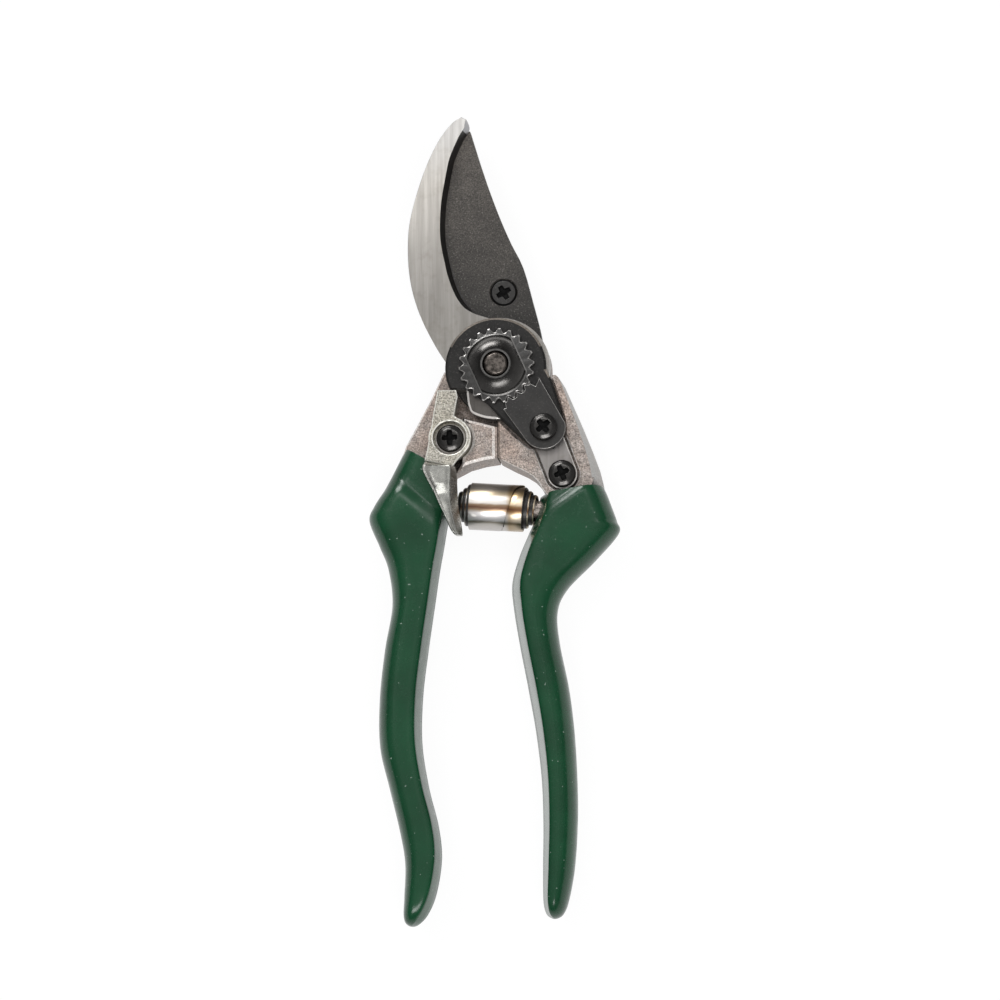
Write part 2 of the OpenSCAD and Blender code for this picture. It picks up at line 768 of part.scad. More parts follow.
// The strip's section at an angle from the middle of its outer wrap. Both halves wind
// inwards, one to each end, and pass each other at the seam, half a turn from the middle.
function strip(angle) =
    let (
        full = 360 * spring_turns,
        a = abs(angle),
        way = angle > 0 ? -1 : 1,
        band = strip_w / 2,
        end = spring_l / 2 - spring_end_gap,
        seam = way * strip_seam + pocket_gap / 2,
        outer = lookup(a, [[0, band], [180, band + 0.2], [full, end]]),
        inner = lookup(a, [[0, -band], [180, seam], [270, seam / 2 + 3.5], [full, end - strip_end_w]]),
        low = way > 0 ? inner : -outer,
        high = way > 0 ? outer : -inner,
        r = spring_r - (spring_r - spring_end_r) * a / full
    )
    [
        for (p = [[low, r], [high, r], [high, r - strip_t], [low, r - strip_t]])
            [p[0], p[1] * cos(angle), p[1] * sin(angle)]
    ];

module volute_spring() {
    steps = round(spring_turns * 24);
    middle = (spring_from + spring_to) / 2;
    color("tan") translate([middle[0], middle[1], z_mid]) rotate(spring_tilt)
        loft([for (k = [-steps : steps]) strip(360 * spring_turns * k / steps)]);
}

hook_handle();
hook_handle_grip();
hook_blade();
tail_screw();
nut_lock_segment();
segment_screw();
toothed_nut();
pivot_bolt();
pivot_washer();
blade_handle();
blade_handle_grip();
cutting_blade();
blade_screw();
pivot_bush();
lock_lever();
lever_screw();
lever_washer();
lever_spring_washer();
volute_spring();
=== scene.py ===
"""Dresses the bypass pruning shears: finishes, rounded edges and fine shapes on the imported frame."""

import math

import bmesh
import bpy
import numpy as np
from mathutils import Matrix, Vector


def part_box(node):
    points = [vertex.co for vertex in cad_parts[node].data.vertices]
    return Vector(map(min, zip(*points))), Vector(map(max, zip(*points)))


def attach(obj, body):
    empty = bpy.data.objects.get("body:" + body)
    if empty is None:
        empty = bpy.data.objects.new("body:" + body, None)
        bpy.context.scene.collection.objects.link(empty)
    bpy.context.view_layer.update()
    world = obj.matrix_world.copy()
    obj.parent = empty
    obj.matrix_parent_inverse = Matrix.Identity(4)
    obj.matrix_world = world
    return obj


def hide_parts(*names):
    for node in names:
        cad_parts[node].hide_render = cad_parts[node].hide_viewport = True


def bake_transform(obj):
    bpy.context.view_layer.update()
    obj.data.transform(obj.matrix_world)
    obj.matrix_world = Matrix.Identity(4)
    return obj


MM = 0.001
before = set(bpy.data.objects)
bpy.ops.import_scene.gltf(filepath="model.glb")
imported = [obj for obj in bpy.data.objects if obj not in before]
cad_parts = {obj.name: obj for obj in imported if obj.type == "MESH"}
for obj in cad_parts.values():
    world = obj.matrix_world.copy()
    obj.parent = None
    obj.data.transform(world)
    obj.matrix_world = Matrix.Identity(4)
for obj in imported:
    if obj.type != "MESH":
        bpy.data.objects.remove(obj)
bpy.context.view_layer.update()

HOOK_SIDE = "hook_side"
BLADE_SIDE = "blade_side"
THUMB_LOCK = "thumb_lock"

# Heights that the pieces share, read from the frame
BOSS_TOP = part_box("hook_blade")[1].z
SEGMENT_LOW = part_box("nut_lock_segment")[0].z
BLADE_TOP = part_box("cutting_blade")[1].z
GRIP_MIDDLE = (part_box("hook_handle_grip")[0].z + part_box("hook_handle_grip")[1].z) / 2
# How close two points lie to count as one, and how far off its height a level face may lie
WELD = 0.002 * MM
LEVEL = 0.03 * MM


# ---- Materials -------------------------------------------------------------

class Nodes:
    """A small helper that adds and links the shader nodes of one material or world."""

    def __init__(self, owner):
        owner.use_nodes = True
        self.owner = owner
        self.tree = owner.node_tree
        self.shader = self.tree.nodes.get("Principled BSDF")
        self.coordinates = self.tree.nodes.new("ShaderNodeTexCoord").outputs
        self.place = self.coordinates["Object"]

    def add(self, kind, **values):
        """A node; each value is set on the node itself or else on its input of that name."""
        made = self.tree.nodes.new(kind)
        for key, value in values.items():
            if hasattr(made, key):
                setattr(made, key, value)
            else:
                made.inputs[key].default_value = value
        return made

    def link(self, out, into):
        self.tree.links.new(out, into)

    def mapped(self, **values):
        """The object's coordinates, scaled or turned."""
        mapping = self.add("ShaderNodeMapping", **values)
        self.link(self.place, mapping.inputs["Vector"])
        return mapping.outputs["Vector"]

    def axes(self, place):
        """The X, Y and Z of a place."""
        made = self.add("ShaderNodeSeparateXYZ")
        self.link(place, made.inputs["Vector"])
        return made.outputs

    def noise(self, scale, detail, roughness, stretch=(1, 1, 1)):
        made = self.add("ShaderNodeTexNoise", Scale=scale, Detail=detail, Roughness=roughness)
        self.link(self.mapped(Scale=stretch), made.inputs["Vector"])
        return made.outputs["Fac"]

    def ramp(self, fac, stops):
        """A colour ramp; stops are (place, colour)."""
        made = self.add("ShaderNodeValToRGB")
        points = made.color_ramp.elements
        while len(points) < len(stops):
            points.new(0.5)
        for point, (at, colour) in zip(points, stops):
            point.position = at
            point.color = (*colour, 1)
        self.link(fac, made.inputs["Fac"])
        return made.outputs["Color"]

    def spread(self, fac, to_low, to_high, low=0.3, high=0.7):
        """Maps a value from low..high to to_low..to_high; a noise mostly lies in 0.3..0.7."""
        made = self.add("ShaderNodeMapRange")
        for key, value in (("From Min", low), ("From Max", high), ("To Min", to_low), ("To Max", to_high)):
            made.inputs[key].default_value = value
        self.link(fac, made.inputs["Value"])
        return made.outputs["Result"]

    def mix(self, fac, a, b, blend="MIX"):
        """Mixes two colours; each is a socket or a colour."""
        made = self.add("ShaderNodeMix", data_type="RGBA", blend_type=blend)
        for value, key in ((fac, 0), (a, 6), (b, 7)):
            socket = made.inputs[key]
            if isinstance(value, bpy.types.NodeSocket):
                self.link(value, socket)
            else:
                socket.default_value = (*value, 1) if isinstance(value, tuple) else value
        return made.outputs[2]

    def bump(self, height, depth, strength, after=None):
        """A bump on the surface, or on another bump that comes after it."""
        made = self.add("ShaderNodeBump", Strength=strength, Distance=depth)
        self.link(height, made.inputs["Height"])
        if after is not None:
            self.link(after, made.inputs["Normal"])
        return made.outputs["Normal"]

    def dress(self, colour, rough, normal, metallic=0.0):
        """Feeds the shader and hands over the finished material."""
        self.link(colour, self.shader.inputs["Base Color"])
        self.link(rough, self.shader.inputs["Roughness"])
        self.link(normal, self.shader.inputs["Normal"])
        self.shader.inputs["Metallic"].default_value = metallic
        return self.owner


def shaded(colour, share):
    """A colour made darker or lighter."""
    return tuple(part * share for part in colour)


def cast_metal(name, dark, light, rough=0.45, blush=(1, 0.91, 0.86), sandy=0.9, metallic=0.75):
    """Bare die cast aluminium with a sandy skin, dark and bright specks and mottled tone."""
    n = Nodes(bpy.data.materials.new(name))
    sand = n.noise(2600, 2, 0.6)
    mottle = n.noise(420, 5, 0.75)
    tone = n.ramp(mottle, ((0.3, dark), (0.7, light)))
    tint = n.ramp(n.noise(110, 3, 0.6), ((0.42, (1, 1, 1)), (0.64, blush)))
    speckle = n.ramp(sand, (
        (0.34, (0.22, 0.2, 0.19)), (0.46, (0.82, 0.82, 0.82)), (0.55, (1, 1, 1)), (0.67, (1.7, 1.7, 1.7))
    ))
    colour = n.mix(sandy, n.mix(1.0, tone, tint, "MULTIPLY"), speckle, "MULTIPLY")
    grain = n.bump(sand, 0.055 * MM * sandy, 0.9, n.bump(mottle, 0.12 * MM, 0.5))
    return n.dress(colour, n.spread(mottle, rough - 0.06, rough + 0.1), grain, metallic)


def ground_steel(name, tones, low=5 * MM, high=60 * MM, metallic=0.9):
    """Satin steel with grinding lines that run along Y; its tones follow Y from low to high."""
    n = Nodes(bpy.data.materials.new(name))
    lines = n.noise(1000, 4, 0.7, (1, 0.03, 1))
    fine = n.noise(3800, 2, 0.6, (1, 0.05, 1))
    tone = n.ramp(n.spread(n.axes(n.place)["Y"], 0, 1, low, high), tones)
    streaks = n.ramp(lines, ((0.32, (0.6, 0.59, 0.57)), (0.68, (1, 1, 1))))
    stains = n.ramp(n.noise(330, 3, 0.6), ((0.3, (0.86, 0.85, 0.83)), (0.5, (1, 1, 1))))
    colour = n.mix(0.7, n.mix(0.6, tone, streaks, "MULTIPLY"), stains, "MULTIPLY")
    grain = n.bump(fine, 0.012 * MM, 0.7, n.bump(lines, 0.02 * MM, 0.6))
    return n.dress(colour, n.spread(lines, 0.28, 0.4), grain, metallic)


def black_finish(name, colour, rough, speck=0.0, metallic=0.3, lightening=None, shine=0.5):
    """A black coat or oxide with a faint grain and light flecks.

    The next to last argument gives two places along Y, each with how light the coat is there.
    """
    n = Nodes(bpy.data.materials.new(name))
    grain = n.noise(1800, 3, 0.6)
    tone = n.ramp(n.noise(140, 4, 0.6), ((0.3, shaded(colour, 0.7)), (0.7, shaded(colour, 1.35))))
    grit = n.ramp(n.noise(2700, 2, 0.6), (
        (0.36, (0.45, 0.44, 0.43)), (0.5, (1, 1, 1)), (0.68, (1.7, 1.68, 1.64))
    ))
    tone = n.mix(min(1.0, speck * 3), tone, n.mix(1.0, tone, grit, "MULTIPLY"))
    if lightening is not None:
        (at_low, share_low), (at_high, share_high) = lightening
        way = n.spread(n.axes(n.place)["Y"], 0, 1, at_low, at_high)
        warm = shaded((1, 0.98, 0.96), share_high)
        tone = n.mix(1.0, tone, n.ramp(way, ((0.0, (share_low,) * 3), (1.0, warm))), "MULTIPLY")
    flecks = n.ramp(n.noise(2300, 2, 0.5), ((0.60, (0, 0, 0)), (0.72, (1, 1, 1))))
    colour = n.mix(n.mix(speck, (0.0, 0.0, 0.0), flecks), tone, (0.3, 0.28, 0.26))
    n.shader.inputs["Specular IOR Level"].default_value = shine
    uneven = n.spread(grain, rough - 0.06, rough + 0.08)
    return n.dress(colour, uneven, n.bump(grain, 0.02 * MM, 0.6), metallic)


def dipped_plastic(name, colour, gloss, grazing):
    """Glossy vinyl with a few dust specks, whose gloss grows at a grazing look."""
    n = Nodes(bpy.data.materials.new(name))
    cloud = n.noise(90, 3, 0.5)
    dust = n.ramp(n.noise(1500, 1, 0.3), ((0.772, (0, 0, 0)), (0.80, (0.5, 0.5, 0.5))))
    tone = n.ramp(cloud, ((0.3, shaded(colour, 0.85)), (0.7, shaded(colour, 1.2))))
    facing = n.add("ShaderNodeLayerWeight", Blend=0.5).outputs["Facing"]
    n.link(n.spread(facing, gloss, grazing, 0.4, 0.72), n.shader.inputs["IOR"])
    waves = n.bump(n.noise(500, 2, 0.5), 0.015 * MM, 0.5, n.bump(cloud, 0.2 * MM, 0.4))
    return n.dress(n.mix(dust, tone, (0.32, 0.38, 0.34)), n.spread(n.noise(400, 3, 0.6), 0.2, 0.3), waves)


def plated_strip(name, tilt, middle_x, middle_y):
    """Plated spring strip with heat tints and painted reflection bands across the spring, from grey
    through gold: its light and dark stripes stand in for the reflections of the rounded wrap.
    """
    n = Nodes(bpy.data.materials.new(name))
    place = n.axes(n.mapped(Rotation=(0, 0, -tilt)))
    waver = n.noise(260, 3, 0.6, (0.3, 1, 1))
    bent = n.add("ShaderNodeMath", operation="MULTIPLY_ADD")
    n.link(waver, bent.inputs[0])
    bent.inputs[1].default_value = 1.8 * MM
    n.link(place["Y"], bent.inputs[2])
    across = n.spread(bent.outputs[0], 0, 1, middle_y - 6 * MM, middle_y + 8 * MM)
    tone = n.ramp(across, (
        (0.04, (0.52, 0.49, 0.48)), (0.13, (0.45, 0.43, 0.40)), (0.16, (0.20, 0.18, 0.14)),
        (0.20, (0.74, 0.73, 0.73)), (0.32, (0.78, 0.75, 0.74)), (0.37, (0.36, 0.26, 0.17)),
        (0.41, (0.17, 0.09, 0.06)), (0.46, (0.36, 0.25, 0.16)), (0.50, (0.90, 0.85, 0.79)),
        (0.61, (0.92, 0.88, 0.84)), (0.66, (0.56, 0.46, 0.32)), (0.71, (0.40, 0.33, 0.24)),
        (0.77, (0.22, 0.20, 0.18)), (0.92, (0.42, 0.40, 0.38))
    ))
    end = n.spread(place["X"], 0, 1, middle_x + 2.2 * MM, middle_x + 6.5 * MM)
    gold = n.ramp(end, ((0.1, (1, 1, 1)), (0.35, (0.72, 0.60, 0.43)), (0.8, (0.86, 0.76, 0.60))))
    grain = n.bump(n.noise(1600, 2, 0.5), 0.01 * MM, 0.5)
    return n.dress(n.mix(1.0, tone, gold, "MULTIPLY"), n.spread(waver, 0.26, 0.38), grain, 0.9)


def plain_metal(name, colour, rough, wear=0.7):
    """Machined metal with a light wear mottle."""
    n = Nodes(bpy.data.materials.new(name))
    mottle = n.noise(900, 4, 0.65)
    tone = n.ramp(mottle, ((0.35, shaded(colour, wear)), (0.6, colour)))
    return n.dress(tone, n.spread(mottle, rough - 0.06, rough + 0.1), n.bump(mottle, 0.015 * MM, 0.5), 0.9)


# The volute spring's ends on its axis, as in part.scad
SPRING_FROM = Vector((-11.4, -34.6)) * MM
SPRING_TO = Vector((10.3, -36.1)) * MM
SPRING_TILT = math.atan2(SPRING_TO.y - SPRING_FROM.y, SPRING_TO.x - SPRING_FROM.x)
SPRING_MIDDLE_X, SPRING_MIDDLE_Y = Matrix.Rotation(-SPRING_TILT, 2) @ (SPRING_FROM + SPRING_TO) / 2

CASTING = cast_metal("casting", (0.19, 0.167, 0.155), (0.43, 0.38, 0.345), sandy=0.75)
# Lighter chamfers of the castings: a painted highlight.
CASTING_HIGHLIGHT = cast_metal(
    "casting_edge_painted_highlight", (0.50, 0.48, 0.46), (0.66, 0.64, 0.62), 0.4, sandy=0.5, metallic=0.3
)
CASTING_SIDE = cast_metal(
    "casting_side", (0.24, 0.235, 0.225), (0.35, 0.34, 0.325), 0.4, (1, 0.96, 0.93), 0.5, 0.6
)
LEVER_METAL = cast_metal("lever_casting", (0.30, 0.285, 0.25), (0.44, 0.42, 0.37), 0.4, (1, 0.98, 0.94))
# Lighter chamfer of the lever's plate: a painted highlight.
LEVER_HIGHLIGHT = cast_metal("lever_edge_painted_highlight", (0.50, 0.49, 0.44), (0.66, 0.65, 0.60), 0.4, (1, 1, 1), 0.4, 0.3)
LEVER_TAB = cast_metal("lever_tab", (0.34, 0.34, 0.315), (0.48, 0.475, 0.445), 0.24, (1, 1, 1), 0.12, 0.95)
# The crescent grows lighter towards its tip: a painted reflection gradient over the steel's own tone.
STEEL = ground_steel("ground_steel", (
    (0.18, (0.325, 0.31, 0.29)), (0.45, (0.425, 0.405, 0.38)),
    (0.78, (0.66, 0.63, 0.588)), (1.0, (0.715, 0.70, 0.68))
))
TIP_WALL = plain_metal("tip_wall", (0.36, 0.36, 0.37), 0.35, 0.85)
LAND = ground_steel(
    "ground_land", ((0.0, (0.33, 0.31, 0.298)), (0.45, (0.29, 0.273, 0.264)), (0.9, (0.12, 0.112, 0.105))),
    -26 * MM, -12 * MM
)
# Near-white bevels of the land and tail: a painted highlight.
LAND_HIGHLIGHT = ground_steel(
    "ground_edge_painted_highlight", ((0.0, (0.72, 0.70, 0.68)), (1.0, (0.80, 0.78, 0.76))), metallic=0.3
)
BLADE_COAT = black_finish(
    "black_coat", (0.042, 0.038, 0.034), 0.5, 0.28, lightening=((14 * MM, 0.38), (58 * MM, 1.3))
)
OXIDE = black_finish("black_oxide", (0.018, 0.017, 0.0162), 0.34, 0.1)
WORN_OXIDE = black_finish("worn_oxide", (0.03, 0.029, 0.028), 0.32, 0.1)
# Lighter chamfer of the boss that faces the tip: a painted highlight.
PAINTED_RIM_OXIDE = black_finish("painted_rim_highlight", (0.15, 0.13, 0.11), 0.36, 0.2)
BOSS_BLACK = black_finish("boss_black", (0.010, 0.0095, 0.009), 0.34, 0.1, shine=0.4)
GLOSS_OXIDE = black_finish("gloss_oxide", (0.055, 0.053, 0.051), 0.22, 0.01, metallic=1.0)
PIT = black_finish("recess_shade", (0.003, 0.003, 0.003), 0.6, 0.0, metallic=0.0, shine=0.08)
VINYL = (0.0008, 0.0325, 0.0113)
VINYL_IOR = 1.42
GREEN = dipped_plastic("green_vinyl", VINYL, VINYL_IOR, VINYL_IOR)
GREEN_WALL = dipped_plastic("green_vinyl_wall", VINYL, VINYL_IOR, 1.85)
GREEN_FLANK = dipped_plastic("green_vinyl_flank", VINYL, VINYL_IOR, 5.0)
STRIP_PAINTED_BANDS = plated_strip("plated_steel", SPRING_TILT, SPRING_MIDDLE_X, SPRING_MIDDLE_Y)
# Near-black coils and rims of the spring: painted shade.
COIL_SHADE = black_finish("painted_coil_shade", (0.012, 0.010, 0.009), 0.4, 0.1)
# Lighter metal for the nut's thin lines: a painted highlight.
NUT_LINE_HIGHLIGHT = plain_metal("painted_line_highlight", (0.13, 0.127, 0.123), 0.34, 0.85)
# Lighter metal for the teeth's bevel and the segment's edges: a painted highlight.
EDGE_GLINT = plain_metal("painted_edge_glint", (0.30, 0.29, 0.28), 0.3, 0.85)
BARE_STEEL = plain_metal("bolt_steel", (0.50, 0.47, 0.44), 0.3)
BOLT_END = plain_metal("worn_bolt", (0.16, 0.14, 0.125), 0.26, 0.25)
BRONZE = plain_metal("bronze", (0.62, 0.42, 0.22), 0.4)


# ---- Mesh helpers ----------------------------------------------------------

def new_object(name, data):
    """An object in the scene that shows a mesh, a lamp or a camera."""
    made = bpy.data.objects.new(name, data)
    bpy.context.scene.collection.objects.link(made)
    return made


def clean_mesh(node):
    """A bmesh of a CAD node, welded and with its flat faces joined."""
    work = bmesh.new()
    work.from_mesh(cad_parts[node].data)
    bmesh.ops.remove_doubles(work, verts=work.verts, dist=WELD)
    bmesh.ops.dissolve_limit(
        work, angle_limit=math.radians(0.6), verts=work.verts, edges=work.edges, delimit=set()
    )
    return work


def tops_at(work, height):
    """The flat tops at a height."""
    return [
        face for face in work.faces
        if face.normal.z > 0.99 and abs(face.calc_center_median().z - height) < LEVEL
    ]


def chamfer_tops(work, height, width, drop, material=0):
    """Chamfers the rim of the flat tops at a height, where nothing stands up from the rim."""
    tops = tops_at(work, height)
    rim = {v for face in tops for v in face.verts}
    standing = {v for v in rim if any(e.other_vert(v).co.z > height + 0.05 * MM for e in v.link_edges)}
    made = bmesh.ops.inset_region(
        work, faces=tops, thickness=width, use_boundary=True, use_even_offset=True
    )["faces"]
    inner = {v for face in tops for v in face.verts}
    outer = {v for face in made for v in face.verts} - inner
    for v in outer - standing:
        v.co.z -= drop
    for face in made:
        if not standing.issuperset(outer.intersection(face.verts)):
            face.material_index = material


def bevel_rim(work, height, width, chosen, material=0):
    """Bevels the open rim of the flat tops at a height, where the middle of an edge is chosen."""
    rim = []
    for edge in work.edges:
        level = all(abs(v.co.z - height) < LEVEL for v in edge.verts)
        falls = any(f.normal.z < 0.3 and f.calc_center_median().z < height for f in edge.link_faces)
        top = any(f.normal.z > 0.9 for f in edge.link_faces)
        if level and falls and top and chosen((edge.verts[0].co + edge.verts[1].co) / 2):
            rim.append(edge)
    made = bmesh.ops.bevel(
        work, geom=rim, offset=width, offset_type="OFFSET", segments=1, profile=0.5, affect="EDGES",
        clamp_overlap=True
    )["faces"]
    for face in made:
        face.material_index = material


def lean_in(work, height, lean):
    """Moves the rim of the largest flat top at a height inwards, and gives back what it moved.

    lean says how far a corner moves, from its place and the level way out of the top there.
    """
    top = max(tops_at(work, height), key=lambda face: face.calc_area())
    corners = [loop.vert for loop in top.loops]
    moves = {}
    for i, vert in enumerate(corners):
        way = corners[(i + 1) % len(corners)].co - corners[i - 1].co
        out = Vector((way.y, -way.x, 0)).normalized()
        far = lean(vert.co, out)
        if far > 0:
            moves[vert] = -out * far
    for vert, move in moves.items():
        vert.co += move
    return set(moves)


def piece_from(work, name):
    """Turns a bmesh into a piece and frees it."""
    mesh = bpy.data.meshes.new(name)
    bmesh.ops.recalc_face_normals(work, faces=work.faces)
    work.to_mesh(mesh)
    work.free()
    return new_object(name, mesh)


def stand_for(piece, node, body, materials):
    """Puts a piece in a CAD node's place, on its body and with its materials."""
    for material in materials:
        piece.data.materials.append(material)
    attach(piece, body)
    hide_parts(node)


def rounded(node, body, materials, width=0.25 * MM, segments=2, angle=30, shape=None, lightening=-1):
    """A rounded copy of a CAD node that stands for it.

    shape may change the mesh first, and the last argument is the place in the list of the material that
    shows along the rounded edges, where a lighter one is a painted highlight.
    """
    work = clean_mesh(node)
    if shape is not None:
        shape(work)
    piece = piece_from(work, node + "_form")
    stand_for(piece, node, body, materials)
    piece.data.shade_smooth()
    bevel = piece.modifiers.new("round_edges", "BEVEL")
    bevel.width = width
    bevel.segments = segments
    bevel.limit_method = "ANGLE"
    bevel.angle_limit = math.radians(angle)
    bevel.material = lightening
    flats = piece.modifiers.new("keep_flats_flat", "WEIGHTED_NORMAL")
    flats.mode = "FACE_AREA"
    flats.weight = 100
    return piece


def share_of(value, whole):
    """A value as a share of the whole, kept between 0 and 1."""
    return min(max(value / whole, 0), 1)


def between(a, b, c, d, t):
    """A point on the Catmull-Rom curve between b and c, with neighbours a and d."""
    return 0.5 * (2 * b + (c - a) * t + (2 * a - 5 * b + 4 * c - d) * t * t
                  + (3 * b - a - 3 * c + d) * t * t * t)


def smooth_rows(rows, steps):
    """A smooth open curve through every row of numbers."""
    rows = [np.array(row, float) for row in rows]
    last = len(rows) - 1
    made = []
    for i in range(last):
        around = [rows[max(i - 1, 0)], rows[i], rows[i + 1], rows[min(i + 2, last)]]
        made += [between(*around, k / steps) for k in range(steps)]
    return made + [rows[last]]


def even_points(points, count):
    """As many points as asked, evenly spaced along a line of points."""
    points = np.array(points, float)
    way = np.concatenate([[0], np.cumsum(np.linalg.norm(np.diff(points, axis=0), axis=1))])
    places = np.linspace(0, way[-1], count)
    return list(zip(*(np.interp(places, way, column) for column in points.T)))


def add_corners(work, rings):
    """Adds the points of rings to a bmesh; all rings have as many points."""
    return [[work.verts.new(point) for point in ring] for ring in rings]


def join_rings(work, rings):
    """Adds the faces between each ring of corners and the next."""
    for low, high in zip(rings, rings[1:]):
        for k in range(len(low)):
            after = (k + 1) % len(low)
            work.faces.new((low[k], high[k], high[after], low[after]))


def add_loft(work, rings):
    """Adds a closed body through rings of points, with a flat face at each end."""
    made = add_corners(work, rings)
    join_rings(work, made)
    work.faces.new(made[0])
    work.faces.new(list(reversed(made[-1])))


def add_ring(work, rings):
    """Adds a closed tube through rings of points, whose last ring meets the first."""
    made = add_corners(work, rings)
    join_rings(work, made + made[:1])


def circle(radius, height, count, at=(0, 0), turn=0.0):
    """A ring of points on a level circle."""
    angles = [turn + 2 * math.pi * k / count for k in range(count)]
    return [(at[0] + radius * math.cos(a), at[1] + radius * math.sin(a), height) for a in angles]


# ---- Grips -----------------------------------------------------------------

# Distances from the pivot to the grips' mouths and to their ends, and their thickness
HEAD_L = 29 * MM
HANDLE_L = 144 * MM
GRIP_T = 16 * MM
GRIP_LOW = 0.8
# Stations from the mouth to the end: x of the inner side in millimetres and its share of the
# way down, the same for the outer side, and the share of the greatest thickness
BLADE_GRIP = [
    [-10.7, -0.005, -23.9, -0.078, GRIP_LOW], [-11.2, 0.02, -26.4, -0.035, GRIP_LOW],
    [-12, 0.052, -29, 0.009, GRIP_LOW], [-12.8, 0.083, -32, 0.05, GRIP_LOW],
    [-13.3, 0.106, -33.2, 0.083, 0.82], [-14.1, 0.148, -30.6, 0.14, 0.9],
    [-15.1, 0.197, -28.3, 0.193, 0.98], [-16.3, 0.27, -27.3, 0.274, 1],
    [-18, 0.374, -29.2, 0.374, 1], [-19.4, 0.478, -30.5, 0.483, 1],
    [-19.6, 0.583, -30.4, 0.591, 1], [-17.9, 0.681, -28, 0.683, 0.98],
    [-15.4, 0.77, -25.4, 0.778, 0.94], [-14.6, 0.843, -24, 0.852, 0.9],
    [-16, 0.922, -24.2, 0.926, 0.84], [-18.4, 0.97, -24.4, 0.968, 0.66],
    [-21.2, 0.994, -23.8, 0.99, 0.32]
]
HOOK_GRIP = [
    [10.5, 0.034, 26.6, 0.014, 0.82], [9.9, 0.056, 27.6, 0.032, 0.84],
    [9.2, 0.078, 28.9, 0.062, 0.88], [8.4, 0.099, 30.1, 0.092, 0.9],
    [7.4, 0.118, 30.5, 0.118, 0.92], [5, 0.169, 24.5, 0.178, 0.96],
    [3.3, 0.226, 17.5, 0.24, 0.99], [3.6, 0.278, 14.9, 0.291, 1],
    [5.2, 0.365, 15.4, 0.361, 1], [7.4, 0.465, 17.8, 0.465, 1],
    [9.4, 0.565, 19.2, 0.565, 1], [10.8, 0.67, 19.9, 0.67, 0.98],
    [11.2, 0.774, 20, 0.765, 0.95], [11.1, 0.87, 19.2, 0.87, 0.9],
    [11.3, 0.948, 17.4, 0.95, 0.76], [12.6, 0.98, 15.4, 0.98, 0.36]
]
GRIP_STEPS = 10
# The slanted inner wall and its turn to the crown: shares of the slant's width and of half
# the thickness
WALL = (
    (0, 0), (0.2, 0.3), (0.4, 0.57), (0.57, 0.77), (0.66, 0.86), (0.76, 0.90), (0.88, 0.925), (1.02, 0.945)
)
WALL_TURN = (1.18, 0.961)
SLANT_SHARE_MOST = 0.38
# How many points from the wall's foot the wall's own finish reaches
WALL_POINTS = 5
# The crown starts at a share of the slant's width, lies at a share of half the thickness and
# bulges by a share of its own width
CROWN_FROM = 1.3
CROWN = 0.971
CROWN_STEPS = 10
CROWN_BULGE = 0.035
# The outer side is a quarter round: its greatest radius, the share of it that lies past the
# crown, its height as a share of half the thickness, and where it starts and its step, in degrees
ROUND_MOST = 5.8 * MM
ROUND_MET = 0.85
ROUND_HEIGHT = 0.975
ROUND_FROM = 78
ROUND_STEP = 6
OVER_POINTS = 34
# Each grip rises from a low collar at its mouth to its full body, up a ramp between two
# lines: the ramp's foot and its brow, each from the outer side to the inner side, in
# millimetres
BLADE_RAMP = ((-25.7, -27.4), (-14.3, -36.8), (-27.4, -30.6), (-16.8, -43.2))
HOOK_RAMP = ((16.9, -32.9), (10.6, -37.2), (22.8, -32.6), (10.4, -41.6))
BODY_SHARE = 0.97
RAMP_STATIONS = 6
RAMP_CURVE = 1.3
# A small lip along the foot: its distance and width in millimetres, its rise as a share of the
# greatest thickness, and how far up the ramp it may reach
LIP_AT = -0.25
LIP_W = 0.45
LIP_RISE = 0.018
LIP_UP_TO = 0.3
# The grip's end is rounded over a few rings, and the skin lies a little inside the solid
END_RINGS = 5
END_ROUND = 0.98
SKIN = 0.995


def side_of(point, start, end):
    """How far a point lies to the right of the line from start to end, seen from above."""
    way = np.array(end) - np.array(start)
    reach = np.array(point) - np.array(start)
    return (reach[0] * way[1] - reach[1] * way[0]) / np.linalg.norm(way)


def climb(point, ramp):
    """How far up the ramp a point lies, and its distance from the ramp's foot."""
    foot = side_of(point, ramp[0], ramp[1]) * ramp_side(ramp)
    brow = side_of(point, ramp[2], ramp[3]) * ramp_side(ramp)
    if foot <= 0:
        return 0.0, foot
    if brow >= 0:
        return 1.0, foot
    return foot / (foot - brow), foot


def ramp_side(ramp):
    """The sign that makes distances grow towards the grip's body."""
    return math.copysign(1, side_of(ramp[2], ramp[0], ramp[1]))


def outline_over(width, slant, turn):
    """The upper outline past the wall, across a grip: a crown and the round outer side."""
    half = GRIP_T / 2
    crown_from = slant * CROWN_FROM
    crown_w = width - turn * ROUND_MET - crown_from
    points = [(slant * WALL_TURN[0], half * WALL_TURN[1])]
    for share in np.linspace(0, 1, CROWN_STEPS):
        bulge = CROWN_BULGE * crown_w * 4 * share * (1 - share)
        points.append((crown_from + crown_w * share, half * CROWN + bulge))
    for degrees in range(ROUND_FROM, -1, -ROUND_STEP):
        angle = math.radians(degrees)
        points.append((width - turn + turn * math.cos(angle), half * ROUND_HEIGHT * math.sin(angle)))
    return [(across, height / half) for across, height in even_points(points, OVER_POINTS)]


def body_height(place, low_share, body_share, ramp):
    """The share of the greatest thickness that a grip's top has at a place near its mouth."""
    up, foot = climb(place / MM, ramp)
    lip = max(0.0, 1 - abs(foot - LIP_AT) / LIP_W) * LIP_RISE if up < LIP_UP_TO else 0
    return low_share + (body_share - low_share) * math.sin(up * math.pi / 2) ** RAMP_CURVE + lip


